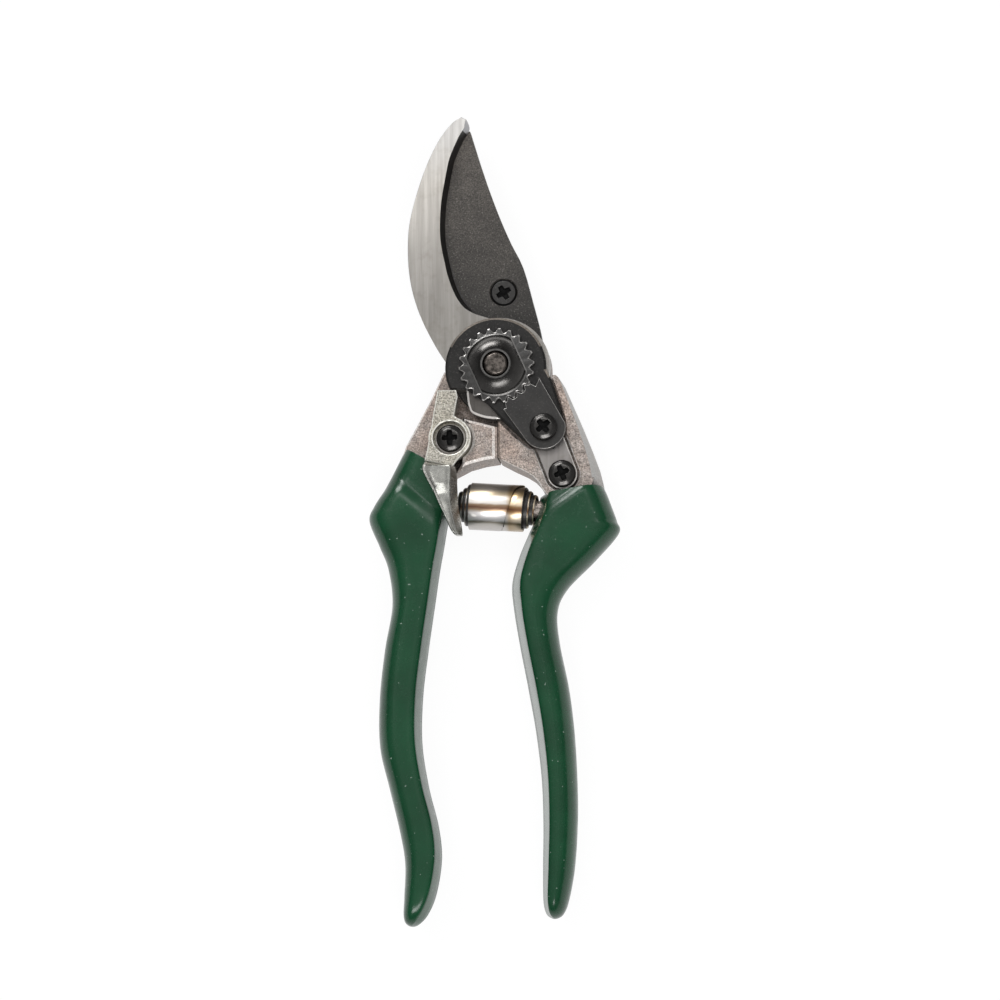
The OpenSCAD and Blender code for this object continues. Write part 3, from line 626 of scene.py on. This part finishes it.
def grip_section(station, ramp, body_share, shrink, slant_w, round_share):
    """One closed section across a grip."""
    length = HANDLE_L - HEAD_L
    inner = np.array([station[0] * MM, -HEAD_L - station[1] * length])
    way = np.array([station[2] * MM, -HEAD_L - station[3] * length]) - inner
    low_share = station[4]
    width = np.linalg.norm(way)
    slant = min(slant_w, width * SLANT_SHARE_MOST)
    upper = [(slant * across, height) for across, height in WALL]
    upper += outline_over(width, slant, min(width * round_share, ROUND_MOST))
    points = []
    for across, height in upper:
        share = body_share
        if body_share > low_share:
            share = body_height(inner + way * across / width, low_share, body_share, ramp)
        points.append((across, height * share))
    points += [(across, -height * low_share) for across, height in reversed(upper[1:-1])]
    middle = width / 2
    section = []
    for across, height in points:
        place = inner + way * (middle + (across - middle) * shrink) / width
        section.append((place[0], place[1], GRIP_MIDDLE + GRIP_T / 2 * height * shrink))
    return section


def make_grip(node, body, rows, ramp, slant_w, round_share, wall_finish):
    """A dipped grip: a skin lofted through its sections, with a rounded mouth and end."""
    shares = [max(row[4], BODY_SHARE) if i < RAMP_STATIONS else row[4] for i, row in enumerate(rows)]
    stations = smooth_rows([row + [share] for row, share in zip(rows, shares)], GRIP_STEPS)
    rings = []
    for i, station in enumerate(stations):
        left = share_of(len(stations) - 1 - i, END_RINGS)
        shrink = SKIN * math.sqrt(1 - (1 - left) ** 2 * END_ROUND)
        body_share = min(max(station[5], station[4]), 1)
        rings.append(grip_section(station[:5], ramp, body_share, shrink, slant_w, round_share))
    work = bmesh.new()
    add_loft(work, rings)
    work.verts.index_update()
    count = len(rings[0])
    for face in work.faces:
        places = [v.index % count for v in face.verts]
        on_wall = all(k < WALL_POINTS or k > count - WALL_POINTS for k in places)
        face.material_index = 1 if on_wall and len(places) == 4 else 0
    piece = piece_from(work, node + "_skin")
    stand_for(piece, node, body, [GREEN, wall_finish])
    piece.data.shade_smooth()
    lip = piece.modifiers.new("round_mouth", "BEVEL")
    lip.width = 0.35 * MM
    lip.segments = 3
    lip.angle_limit = math.radians(55)


make_grip("blade_handle_grip", BLADE_SIDE, BLADE_GRIP, BLADE_RAMP, 2 * MM, 0.44, GREEN_WALL)
make_grip("hook_handle_grip", HOOK_SIDE, HOOK_GRIP, HOOK_RAMP, 4.4 * MM, 0.54, GREEN_FLANK)


# ---- Hook and blade --------------------------------------------------------

PLATE_TOP = SEGMENT_LOW - 1 * MM
WALL_LEAN = 1 * MM
HOOK_TIP_Y = 64.4 * MM
BLADE_TIP_Y = 61.4 * MM
# Above this the hook is a ground crescent, and below these it is a bare land and then a tail
CRESCENT_FROM = 14 * MM
LAND_FROM = -5 * MM
TAIL_FROM = -20.8 * MM
BOSS_R = 12.9 * MM
# The hook's materials, and the places in that list of all but the first
HOOK_METALS = [STEEL, BOSS_BLACK, LAND, LAND_HIGHLIGHT, PAINTED_RIM_OXIDE, TIP_WALL]
BLACK, LAND_TOP, LAND_BEVEL_HIGHLIGHT, RIM_HIGHLIGHT, TIP_SIDE = range(1, 6)


def wall_lean(at, out):
    """How far the hook's inner wall leans in; the lean fades out towards the tip and the boss."""
    from_boss = at.xy.length - BOSS_R
    on_wall = at.y > 16.5 * MM or (at.y > 12 * MM and at.x > -12 * MM)
    if out.x < 0.25 or not on_wall or from_boss < 0.6 * MM:
        return 0
    return WALL_LEAN * share_of(HOOK_TIP_Y - at.y, 1.2 * MM) * share_of(from_boss, 5 * MM)


def shape_hook(work):
    """Slants the hook's inner wall, which faces the blade, and bevels its plate and boss."""
    lean_in(work, PLATE_TOP, wall_lean)
    bevel_rim(work, PLATE_TOP, 0.3 * MM, lambda at: at.y > CRESCENT_FROM)
    bevel_rim(work, PLATE_TOP, 0.85 * MM, lambda at: at.x < 0.8 * MM and at.y < LAND_FROM - 0.9 * MM)
    bevel_rim(work, PLATE_TOP, 0.32 * MM, lambda at: at.x > 8 * MM and at.y < TAIL_FROM)
    chamfer_tops(work, BOSS_TOP, 0.55 * MM, 0.4 * MM)


def finish_hook(piece):
    """Bright crescent, black inner wall and boss, a painted highlight on the boss chamfer that faces the
    tip, bare land and tail with painted highlights on their bevels.
    """
    for face in piece.data.polygons:
        at, out = face.center, face.normal
        bevelled = 0.2 < out.z < 0.9 and at.z < PLATE_TOP and at.y < LAND_FROM - 0.5 * MM
        black_wall = out.z < 0.9 and out.x > 0.3 and 13 * MM < at.y < BLADE_TIP_Y
        black_top = at.z > PLATE_TOP + 0.1 * MM
        low_side = at.y < -9 * MM and at.x > 0.6 * MM
        if out.z > 0.9 and abs(at.z - PLATE_TOP) < 0.1 * MM and at.y < LAND_FROM:
            face.material_index = LAND_TOP
        elif bevelled and (at.x < 1 * MM or at.y < TAIL_FROM):
            face.material_index = LAND_BEVEL_HIGHLIGHT
        # The boss chamfer that faces the tip is lighter: a painted highlight.
        elif black_top and 0.3 < out.z < 0.95 and out.y > 0.25:
            face.material_index = RIM_HIGHLIGHT
        elif black_top or low_side or black_wall:
            face.material_index = BLACK
        elif out.z < 0.9 and at.y > CRESCENT_FROM:
            face.material_index = TIP_SIDE


finish_hook(rounded("hook_blade", HOOK_SIDE, HOOK_METALS, 0.25 * MM, 3, shape=shape_hook))
rounded("cutting_blade", BLADE_SIDE, [BLADE_COAT], 0.15 * MM)


# ---- Castings --------------------------------------------------------------

SHOULDER_TOP = 13 * MM
RIB_TOP = 14 * MM
# Places down the rib and how far its outer side leans in there, in millimetres
RIB_LEAN = ((3, 18, 28), (0.3, 1, 1.9))
CAST_METALS = [CASTING, CASTING_HIGHLIGHT, CASTING_SIDE]
EDGE_HIGHLIGHT, SIDE = 1, 2


def chamfer_blade_casting(work):
    """A bevel of the blade handle's shoulder at the seam, and chamfers of the shoulder and of its plate
    round the blade with a painted highlight.
    """
    bevel_rim(work, SHOULDER_TOP, 0.6 * MM, lambda at: at.x > -0.3 * MM)
    chamfer_tops(work, SHOULDER_TOP, 0.7 * MM, 0.5 * MM, EDGE_HIGHLIGHT)
    chamfer_tops(work, BLADE_TOP, 0.4 * MM, 0.35 * MM, EDGE_HIGHLIGHT)


def rib_lean(at, out):
    """How far the outer side of the hook casting's rib leans in, more and more to the grip."""
    return float(np.interp(-at.y / MM, *RIB_LEAN)) * MM if out.x > 0.5 else 0


def chamfer_hook_casting(work):
    """Bevels of the hook handle's shoulder, the narrow one towards the grip with a painted highlight, and
    the lean of its rib.
    """
    bevel_rim(work, SHOULDER_TOP, 0.9 * MM, lambda at: at.x < 0.3 * MM)
    bevel_rim(work, SHOULDER_TOP, 0.35 * MM, lambda at: at.x > 1.2 * MM and at.y < -19 * MM, EDGE_HIGHLIGHT)
    leaning = lean_in(work, RIB_TOP, rib_lean)
    for face in work.faces:
        if leaning & set(face.verts) and face.normal.z < 0.9 and face.normal.x > 0.3:
            face.material_index = SIDE


rounded("hook_handle", HOOK_SIDE, CAST_METALS, 0.2 * MM, shape=chamfer_hook_casting)
rounded("blade_handle", BLADE_SIDE, CAST_METALS, 0.2 * MM, shape=chamfer_blade_casting)


# ---- Lock lever ------------------------------------------------------------

TAB_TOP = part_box("lock_lever")[1].z
LEVER_TOP = TAB_TOP - 2.2 * MM
TAB_LOW = 14.75 * MM
# The line across the lever where its plate ends and its thumb tab starts
RIDGE = (Vector((-18.4, -24.2, 0)) * MM, Vector((-11.2, -25.9, 0)) * MM)
# Rows down the thumb tab: y, then x of its left edge, its right rim and its right foot
THUMB_TAB = [
    (-24.6, -18.3, -11.9, -10.9), (-26.7, -18.8, -11.7, -10.4), (-28.4, -18.2, -11.8, -10.2),
    (-30.4, -17.2, -11.9, -10.1), (-32.4, -16.1, -11.9, -10), (-35.2, -14.9, -11.8, -9.9),
    (-38, -13.6, -11.4, -9.5), (-40.2, -12.6, -10.9, -9.1), (-42.2, -11.7, -10.3, -8.8),
    (-43.3, -11, -9.9, -8.7), (-43.85, -10.3, -9.6, -8.8)
]
TAB_FROM = -24.6 * MM
TAB_TO = -43.9 * MM
# Places down the tab and how deep it is dished there, in millimetres; a ridge parts two dishes
TAB_DISH = ((24.6, 26.2, 30.4, 33.1, 33.7, 35.2, 41, 43.9), (0, 0.75, 0.75, 0.15, 0.1, 0.5, 0.35, 0))
LEVER_METALS = [LEVER_METAL, LEVER_HIGHLIGHT, LEVER_TAB]
PLATE_HIGHLIGHT, TAB = 1, 2


def tab_section(row):
    """A section across the thumb tab: rims, a dish between them and a leaning right wall.

    The tab rises at its start, where its sections lie aslant, and sinks towards its end.
    """
    y, left, right, foot = [value * MM for value in row]
    start = share_of(TAB_FROM - y, 1.2 * MM)
    end = share_of(y - TAB_TO, 4 * MM)
    rim = LEVER_TOP + (TAB_TOP - LEVER_TOP) * (0.25 + 0.75 * start) * (0.72 + 0.28 * end)
    dish = float(np.interp(-y / MM, *TAB_DISH)) * MM
    wide = right - left
    points = [(left + 0.1 * MM, TAB_LOW), (left, rim - 0.45 * MM), (left + 0.22 * MM, rim - 0.08 * MM)]
    points += [(left + 0.5 * MM, rim), (left + 0.75 * MM, rim - 0.05 * MM)]
    for share in (0.22, 0.36, 0.5, 0.64, 0.78, 0.9):
        points.append((left + wide * share, rim - 0.1 * MM - dish * math.sin(share * math.pi) ** 0.8))
    points += [(right, rim - 0.1 * MM), (right + 0.25 * MM, rim - 0.3 * MM)]
    points += [(foot, TAB_LOW + 0.2 * MM), (foot, TAB_LOW)]
    return [(x, y - (x - left) * 0.2 * (1 - start), z) for x, z in points]


def shape_lever(work):
    """Cuts the plain tab off and lofts a dished one in its place."""
    # The plate's chamfer carries a painted highlight.
    chamfer_tops(work, LEVER_TOP, 0.3 * MM, 0.3 * MM, PLATE_HIGHLIGHT)
    along = (RIDGE[1] - RIDGE[0]).normalized()
    away = Vector((along.y, -along.x, 0))
    cut = bmesh.ops.bisect_plane(
        work, geom=work.verts[:] + work.edges[:] + work.faces[:], plane_co=RIDGE[0], plane_no=away,
        clear_outer=True
    )["geom_cut"]
    bmesh.ops.holes_fill(work, edges=[e for e in cut if isinstance(e, bmesh.types.BMEdge)])
    plate = set(work.faces)
    add_loft(work, [tab_section(row) for row in smooth_rows(THUMB_TAB, 6)])
    for face in set(work.faces) - plate:
        face.material_index = TAB


rounded("lock_lever", THUMB_LOCK, LEVER_METALS, 0.15 * MM, angle=35, shape=shape_lever)


# ---- Nut, bolt and lock segment --------------------------------------------

NUT_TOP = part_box("toothed_nut")[1].z
NUT_TIP_R = (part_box("toothed_nut")[1].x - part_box("toothed_nut")[0].x) / 2
NUT_TEETH = 22
TOOTH_H = 1.2 * MM
# One tooth: the share of the way to the next one, and the share of its height below the tip
TOOTH = ((-0.1, 0), (0.1, 0), (0.3, 0.68), (0.5, 1), (0.7, 0.68))
TOOTH_BEVEL = 0.35 * MM
FLANGE_TOP = SEGMENT_LOW + 1.6 * MM
# A gap between two teeth points to the lock segment's screw
SEGMENT_SCREW = (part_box("segment_screw")[0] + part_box("segment_screw")[1]) / 2
SEGMENT_ANGLE = math.atan2(SEGMENT_SCREW.y, SEGMENT_SCREW.x)
BORE_R = 3.05 * MM
COLLAR_R = 3.9 * MM
# The hub's foot is a narrow ledge as large as the solid's hub, round a slightly smaller flare
LEDGE_W = 0.35 * MM
HUB_R = 8.15 * MM - LEDGE_W
HUB_FLATS = 13 * MM / 2 - LEDGE_W
HUB_TURN = math.radians(-66)
HUB_POINTS = 144
FLARE_STEPS = 8
NUT_METALS = [WORN_OXIDE, NUT_LINE_HIGHLIGHT, GLOSS_OXIDE, EDGE_GLINT]
FLANGE, HIGHLIGHT_LINE, HUB, TOOTH_GLINT = range(4)


def toothed_ring(height, grow=0.0):
    """The outline of the nut's teeth at a height."""
    points = []
    for tooth in range(NUT_TEETH):
        for share, down in TOOTH:
            angle = SEGMENT_ANGLE + 2 * math.pi * (tooth + 0.5 + share) / NUT_TEETH
            reach = NUT_TIP_R - TOOTH_H * down + grow
            points.append((reach * math.cos(angle), reach * math.sin(angle), height))
    return points


def plain_ring(height, radius):
    """A circle with a point under each point of the teeth's outline."""
    points = []
    for x, y, z in toothed_ring(height):
        reach = math.hypot(x, y)
        points.append((x * radius / reach, y * radius / reach, z))
    return points


def flatted_ring(radius, height):
    """A level ring of the hub, cut by its two flats."""
    flats = HUB_FLATS + (LEDGE_W if radius > HUB_R else 0)
    points = []
    for k in range(HUB_POINTS):
        angle = 2 * math.pi * k / HUB_POINTS
        reach = min(radius, flats / max(abs(math.sin(angle - HUB_TURN)), 0.1))
        points.append((reach * math.cos(angle), reach * math.sin(angle), height))
    return points


def flare(share):
    """The hub's radius and height at a share of the way from its collar to its rim."""
    radius = COLLAR_R + 0.1 * MM + (HUB_R - COLLAR_R - 0.6 * MM) * share
    return radius, FLANGE_TOP + 0.2 * MM + 1.4 * MM * (1 - share) ** 1.7


def hub_profile():
    """Radius and height up the bore, over the collar, down the flare and round the ledge."""
    low_rim = FLANGE_TOP - 0.1 * MM
    points = [(BORE_R, NUT_TOP - 0.5 * MM), (BORE_R + 0.35 * MM, NUT_TOP), (COLLAR_R - 0.2 * MM, NUT_TOP)]
    points += [(COLLAR_R, NUT_TOP - 0.2 * MM), (COLLAR_R + 0.05 * MM, NUT_TOP - 0.5 * MM)]
    points += [flare(k / FLARE_STEPS) for k in range(1, FLARE_STEPS + 1)]
    points += [(HUB_R - 0.25 * MM, FLANGE_TOP + 0.4 * MM), (HUB_R, FLANGE_TOP + 0.2 * MM)]
    points += [(HUB_R + LEDGE_W, FLANGE_TOP + 0.1 * MM), (HUB_R + LEDGE_W, low_rim), (BORE_R, low_rim)]
    return points


def add_bands(work, rings, finishes, finish):
    """Adds a closed tube through rings and gives its bands their finish, by the band's place."""
    before = len(work.faces)
    add_ring(work, rings)
    for place, face in enumerate(list(work.faces)[before:]):
        face.material_index = finishes.get(place // len(rings[0]), finish)


def make_nut():
    """The nut: a toothed flange, a flared hub with two flats and a raised collar."""
    work = bmesh.new()
    flange = [
        plain_ring(SEGMENT_LOW, BORE_R), toothed_ring(SEGMENT_LOW),
        toothed_ring(FLANGE_TOP - 0.5 * MM), toothed_ring(FLANGE_TOP - 0.32 * MM, -TOOTH_BEVEL),
        plain_ring(FLANGE_TOP, HUB_FLATS - 0.3 * MM), plain_ring(FLANGE_TOP, BORE_R)
    ]
    # The teeth's bevel is lighter: a painted highlight.
    add_bands(work, flange, {2: TOOTH_GLINT}, FLANGE)
    hub = [flatted_ring(radius, height) for radius, height in hub_profile()]
    ledge = len(hub) - 4
    # The collar's top and rim and the ledge at the hub's foot get lighter lines: painted highlights.
    add_bands(work, hub, {1: HIGHLIGHT_LINE, 2: HIGHLIGHT_LINE, ledge: HIGHLIGHT_LINE}, HUB)
    nut = piece_from(work, "toothed_nut_form")
    stand_for(nut, "toothed_nut", HOOK_SIDE, NUT_METALS)
    nut.data.shade_smooth()
    nut.data.set_sharp_from_angle(angle=math.radians(28))


make_nut()
# The lock segment's rounded edges carry a painted highlight.
rounded("nut_lock_segment", HOOK_SIDE, [OXIDE, EDGE_GLINT], 0.16 * MM, lightening=1)
rounded("pivot_bolt", HOOK_SIDE, [BOLT_END], 0.2 * MM)
rounded("pivot_washer", HOOK_SIDE, [BARE_STEEL], 0.1 * MM)
rounded("lever_washer", BLADE_SIDE, [BARE_STEEL], 0.08 * MM)
for hidden, material in (("pivot_bush", BRONZE), ("lever_spring_washer", BARE_STEEL)):
    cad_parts[hidden].data.materials.clear()
    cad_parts[hidden].data.materials.append(material)


# ---- Screws ----------------------------------------------------------------

SHANK_R = 2 * MM
HEAD_H = 1.9 * MM
HEAD_RISE = 1.05 * MM
# The share of a head's radius and the share of its rise there: nearly flat, then a cone
HEAD_PROFILE = ((0, 0.5, 0.62, 0.7, 0.9, 0.96, 1), (1, 0.96, 0.9, 0.8, 0.42, 0.26, 0))
FLUSH_HEAD_H = 1.5 * MM
FLUSH_CONE_H = 0.9 * MM
FLUSH_RIM_W = 0.4 * MM
HEAD_MIDDLE_R = 0.03 * MM
HEAD_STEPS = 44
HEAD_POINTS = 144
# The cross recess: half its length, the width of its arms, and the width of its sloping sides
CROSS_L = 1.95 * MM
CROSS_W = 1.45 * MM
CROSS_SIDE_W = 0.16 * MM
CROSS_END_W = 0.25 * MM
CROSS_PIT_R = 0.75 * MM
CROSS_DEPTH = 1.1 * MM


def cross_share(x, y):
    """How deep a tapered cross recess is at a point of a screw's face, as a share of its depth."""
    deepest = 0.0
    for along, across in ((abs(x), abs(y)), (abs(y), abs(x))):
        half = CROSS_W / 2 * (1.15 - 0.35 * along / CROSS_L)
        inside = share_of(half - across, CROSS_SIDE_W) * share_of(CROSS_L - along, CROSS_END_W)
        deepest = max(deepest, inside * (1 - 0.25 * along / CROSS_L))
    return deepest + 0.35 * max(0.0, 1 - math.hypot(x, y) / CROSS_PIT_R)


def head_drop(distance, radius, domed):
    """How far a screw's face lies below its top at a distance from its middle."""
    if domed:
        return HEAD_RISE * (1 - float(np.interp(distance / radius, *HEAD_PROFILE)))
    return max(0.0, distance - radius + FLUSH_RIM_W) * 0.9


def head_rings(at, top, radius, turn, domed):
    """Rings over a screw's face, from its middle to its rim, with the cross sunk into them."""
    rings = []
    for i in range(HEAD_STEPS + 1):
        share = i / HEAD_STEPS
        distance = max(radius * (math.sin(share * math.pi / 2) if domed else share), HEAD_MIDDLE_R)
        height = top - head_drop(distance, radius, domed)
        own = circle(distance, height, HEAD_POINTS)
        sunk = [CROSS_DEPTH * cross_share(x, y) for x, y, _ in own]
        placed = circle(distance, height, HEAD_POINTS, at, turn)
        rings.append([(x, y, z - depth) for (x, y, z), depth in zip(placed, sunk)])
    return rings


def make_screw(node, body, degrees, domed=True):
    """A cross recessed screw: a finely meshed face, a round head and a plain shank."""
    low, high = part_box(node)
    at = ((low.x + high.x) / 2, (low.y + high.y) / 2)
    radius = (high.x - low.x) / 2 * 0.999
    head_low = high.z - (HEAD_H if domed else FLUSH_HEAD_H)
    neck = head_low if domed else head_low - FLUSH_CONE_H
    turn = math.radians(degrees)
    rings = head_rings(at, high.z, radius, turn, domed)
    for distance, height in ((radius, head_low), (SHANK_R, neck), (SHANK_R, low.z)):
        rings.append(circle(distance, height, HEAD_POINTS, at, turn))
    work = bmesh.new()
    add_loft(work, rings)
    piece = piece_from(work, node + "_form")
    stand_for(piece, node, body, [GLOSS_OXIDE if domed else OXIDE, PIT])
    piece.data.shade_smooth()
    piece.data.set_sharp_from_angle(angle=math.radians(50))
    for face in piece.data.polygons:
        place = Matrix.Rotation(-turn, 2) @ (face.center.xy - Vector(at))
        at_rim = not domed and place.length > radius - FLUSH_RIM_W
        if face.center.z > head_low and (at_rim or cross_share(place.x, place.y) > 0.12):
            face.material_index = 1


make_screw("segment_screw", HOOK_SIDE, 38)
make_screw("tail_screw", HOOK_SIDE, 22)
make_screw("lever_screw", BLADE_SIDE, 2)
make_screw("blade_screw", BLADE_SIDE, 30, domed=False)


# ---- Spring ----------------------------------------------------------------

SPRING_R = 6 * MM
SPRING_END_R = 3.2 * MM
SPRING_TURNS = 3.5
SPRING_STEPS = round(SPRING_TURNS * 48)
SPRING_LENGTH = (SPRING_TO - SPRING_FROM).length
FULL = 360 * SPRING_TURNS
STRIP_T = 0.3 * MM
STRIP_W = 13.4 * MM
STRIP_END_W = 3 * MM
STRIP_SEAM = 1.5 * MM
STRIP_SIDES = 8


def strip_span(angle):
    """Where the strip's two edges lie along the spring, at an angle from the middle of its wrap.

    The strip winds off to both ends, and under the wrap each half reaches past the seam.
    """
    a = abs(angle)
    way = -1 if angle > 0 else 1
    end = SPRING_LENGTH / 2 - (0.05 * MM if way > 0 else 0.6 * MM)
    seam = way * STRIP_SEAM + 0.1 * MM
    outer = float(np.interp(a, (0, 180, FULL), (STRIP_W / 2, STRIP_W / 2 + 0.2 * MM, end)))
    inner = float(np.interp(
        a, (0, 45, 90, 180, 270, 315, 360, FULL),
        (-STRIP_W / 2, -4.6 * MM, -3.6 * MM, seam, 3 * MM, 4 * MM, 5.6 * MM, end - STRIP_END_W)
    ))
    return (inner, outer) if way > 0 else (-outer, -inner)


def strip_section(angle):
    """The strip's section, with rounded edges, at an angle from the middle of its outer wrap."""
    low, high = strip_span(angle)
    held = (190, 260, FULL) if angle > 0 else (90, 180, FULL)
    radius = float(np.interp(abs(angle), held, (SPRING_R, SPRING_R - 0.1 * MM, SPRING_END_R)))
    under = radius - STRIP_T
    edge, drop = (0.1 * MM, 0.08 * MM) if abs(angle) < 200 else (0.3 * MM, 0.2 * MM)
    section = (
        (low + edge, radius), (high - edge, radius), (high, radius - drop), (high, under + 0.05 * MM),
        (high - 0.1 * MM, under), (low + 0.1 * MM, under), (low, under + 0.05 * MM), (low, radius - drop)
    )
    turn = math.radians(angle)
    return [(x, r * math.cos(turn), r * math.sin(turn)) for x, r in section]


def make_spring():
    """The double volute spring, which reaches from one handle to the other."""
    work = bmesh.new()
    angles = [FULL * k / SPRING_STEPS for k in range(-SPRING_STEPS, SPRING_STEPS + 1)]
    add_loft(work, [strip_section(angle) for angle in angles])
    middle = (SPRING_FROM + SPRING_TO) / 2
    place = Matrix.Translation((middle.x, middle.y, GRIP_MIDDLE)) @ Matrix.Rotation(SPRING_TILT, 4, "Z")
    bmesh.ops.transform(work, matrix=place, verts=work.verts)
    spring = piece_from(work, "volute_spring_form")
    spring.data.materials.append(STRIP_PAINTED_BANDS)
    spring.data.materials.append(COIL_SHADE)
    # Painted shade, dark: the rims of the wrap's last part and the flat sides of the coils inside it
    for i, face in enumerate(spring.data.polygons):
        turns = abs(i / STRIP_SIDES / (2 * SPRING_STEPS) - 0.5) * 2 * SPRING_TURNS
        inside, flat_side = turns > 1.05, i % STRIP_SIDES in (0, 4)
        face.material_index = 1 if inside == flat_side and turns > 0.55 else 0
    spring.data.shade_smooth()
    spring.data.set_sharp_from_angle(angle=math.radians(40))
    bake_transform(spring)
    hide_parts("volute_spring")


make_spring()


# ---- Stage, light and camera -----------------------------------------------

FLOOR_W = 3
FLOOR_WHITE = (0.86, 0.86, 0.86)
# How much of the floor is glow, not shade, where the camera or a gloss looks at it
FLOOR_GLOW = 0.93
# The world's grey at the horizon and overhead
HORIZON = 0.06
ZENITH = 0.72
LIGHT_AIM = (0, -0.03, 0)
# What the camera looks at, the way from there to it, how far off it is, and the width it sees
CAMERA_AIM = Vector((0.15 * MM, -33.4 * MM, 8 * MM))
CAMERA_WAY = (0.10, -0.19, 1)
CAMERA_FAR = 8
SEEN_W = 254.3 * MM
SENSOR_W = 36
# Name, place, size and power; whether gloss mirrors it, and whether it lights matt surfaces
SOFT_BOXES = (
    ("key", (-0.7, 0.5, 0.9), (0.7, 0.7), 8, False, True),
    ("fill", (0.8, 0.2, 0.8), (0.6, 0.8), 5, False, True),
    ("back", (0.0, 0.6, 1.04), (1.2, 0.2), 2.8, True, True),
    ("rear", (-0.42, 0.98, 0.62), (0.6, 0.3), 9, True, False),
    ("low", (0.1, -0.85, 0.9), (0.8, 0.3), 8, True, True),
    ("left_strip", (-0.62, 0.23, 1.25), (0.1, 0.5), 0.1, True, False),
    ("right_strip", (0.34, 0.23, 1.3), (0.1, 0.5), 0.1, True, False)
)


def white_floor():
    """A pale floor that stays white to the camera and in reflections, and keeps a soft shadow."""
    mesh = bpy.data.meshes.new("floor")
    half = FLOOR_W / 2
    corners = [(-half, -half, 0), (half, -half, 0), (half, half, 0), (-half, half, 0)]
    mesh.from_pydata(corners, [], [(0, 1, 2, 3)])
    floor = new_object("floor", mesh)
    n = Nodes(bpy.data.materials.new("floor_white"))
    path = n.add("ShaderNodeLightPath")
    seen = n.add("ShaderNodeMath", operation="MAXIMUM")
    n.link(path.outputs["Is Camera Ray"], seen.inputs[0])
    n.link(path.outputs["Is Glossy Ray"], seen.inputs[1])
    mix = n.add("ShaderNodeMixShader")
    n.link(n.spread(seen.outputs[0], 0, FLOOR_GLOW, 0, 1), mix.inputs["Fac"])
    n.link(n.add("ShaderNodeBsdfDiffuse", Color=(*FLOOR_WHITE, 1)).outputs[0], mix.inputs[1])
    n.link(n.add("ShaderNodeEmission").outputs[0], mix.inputs[2])
    n.link(mix.outputs[0], n.tree.nodes["Material Output"].inputs["Surface"])
    mesh.materials.append(n.owner)


def soft_box(name, at, size, power, mirrored, lights):
    """A soft rectangular lamp that looks at the shears."""
    data = bpy.data.lights.new(name, "AREA")
    data.shape = "RECTANGLE"
    data.size, data.size_y = size
    data.energy = power
    lamp = new_object(name, data)
    lamp.location = at
    lamp.rotation_euler = (Vector(LIGHT_AIM) - Vector(at)).to_track_quat("-Z", "Y").to_euler()
    lamp.visible_glossy = mirrored
    lamp.visible_diffuse = lights


def light_scene():
    """A studio whose walls darken towards the horizon, and its soft boxes."""
    world = bpy.data.worlds.new("studio")
    bpy.context.scene.world = world
    n = Nodes(world)
    up = n.axes(n.coordinates["Generated"])["Z"]
    n.link(n.spread(up, HORIZON, ZENITH, 0, 1), n.tree.nodes["Background"].inputs["Color"])
    for row in SOFT_BOXES:
        soft_box(*row)


def place_camera():
    """Looks down at the shears, a little from the handles' end and from the right."""
    back = Vector(CAMERA_WAY).normalized()
    data = bpy.data.cameras.new("camera")
    data.sensor_width = SENSOR_W
    data.lens = SENSOR_W * CAMERA_FAR / SEEN_W
    camera = new_object("camera", data)
    right = Vector((0, 1, 0)).cross(back).normalized()
    turn = Matrix((right, back.cross(right), back)).transposed().to_4x4()
    camera.matrix_world = Matrix.Translation(CAMERA_AIM + back * CAMERA_FAR) @ turn
    bpy.context.scene.camera = camera


white_floor()
light_scene()
place_camera()
bpy.context.scene.view_settings.view_transform = "Standard"
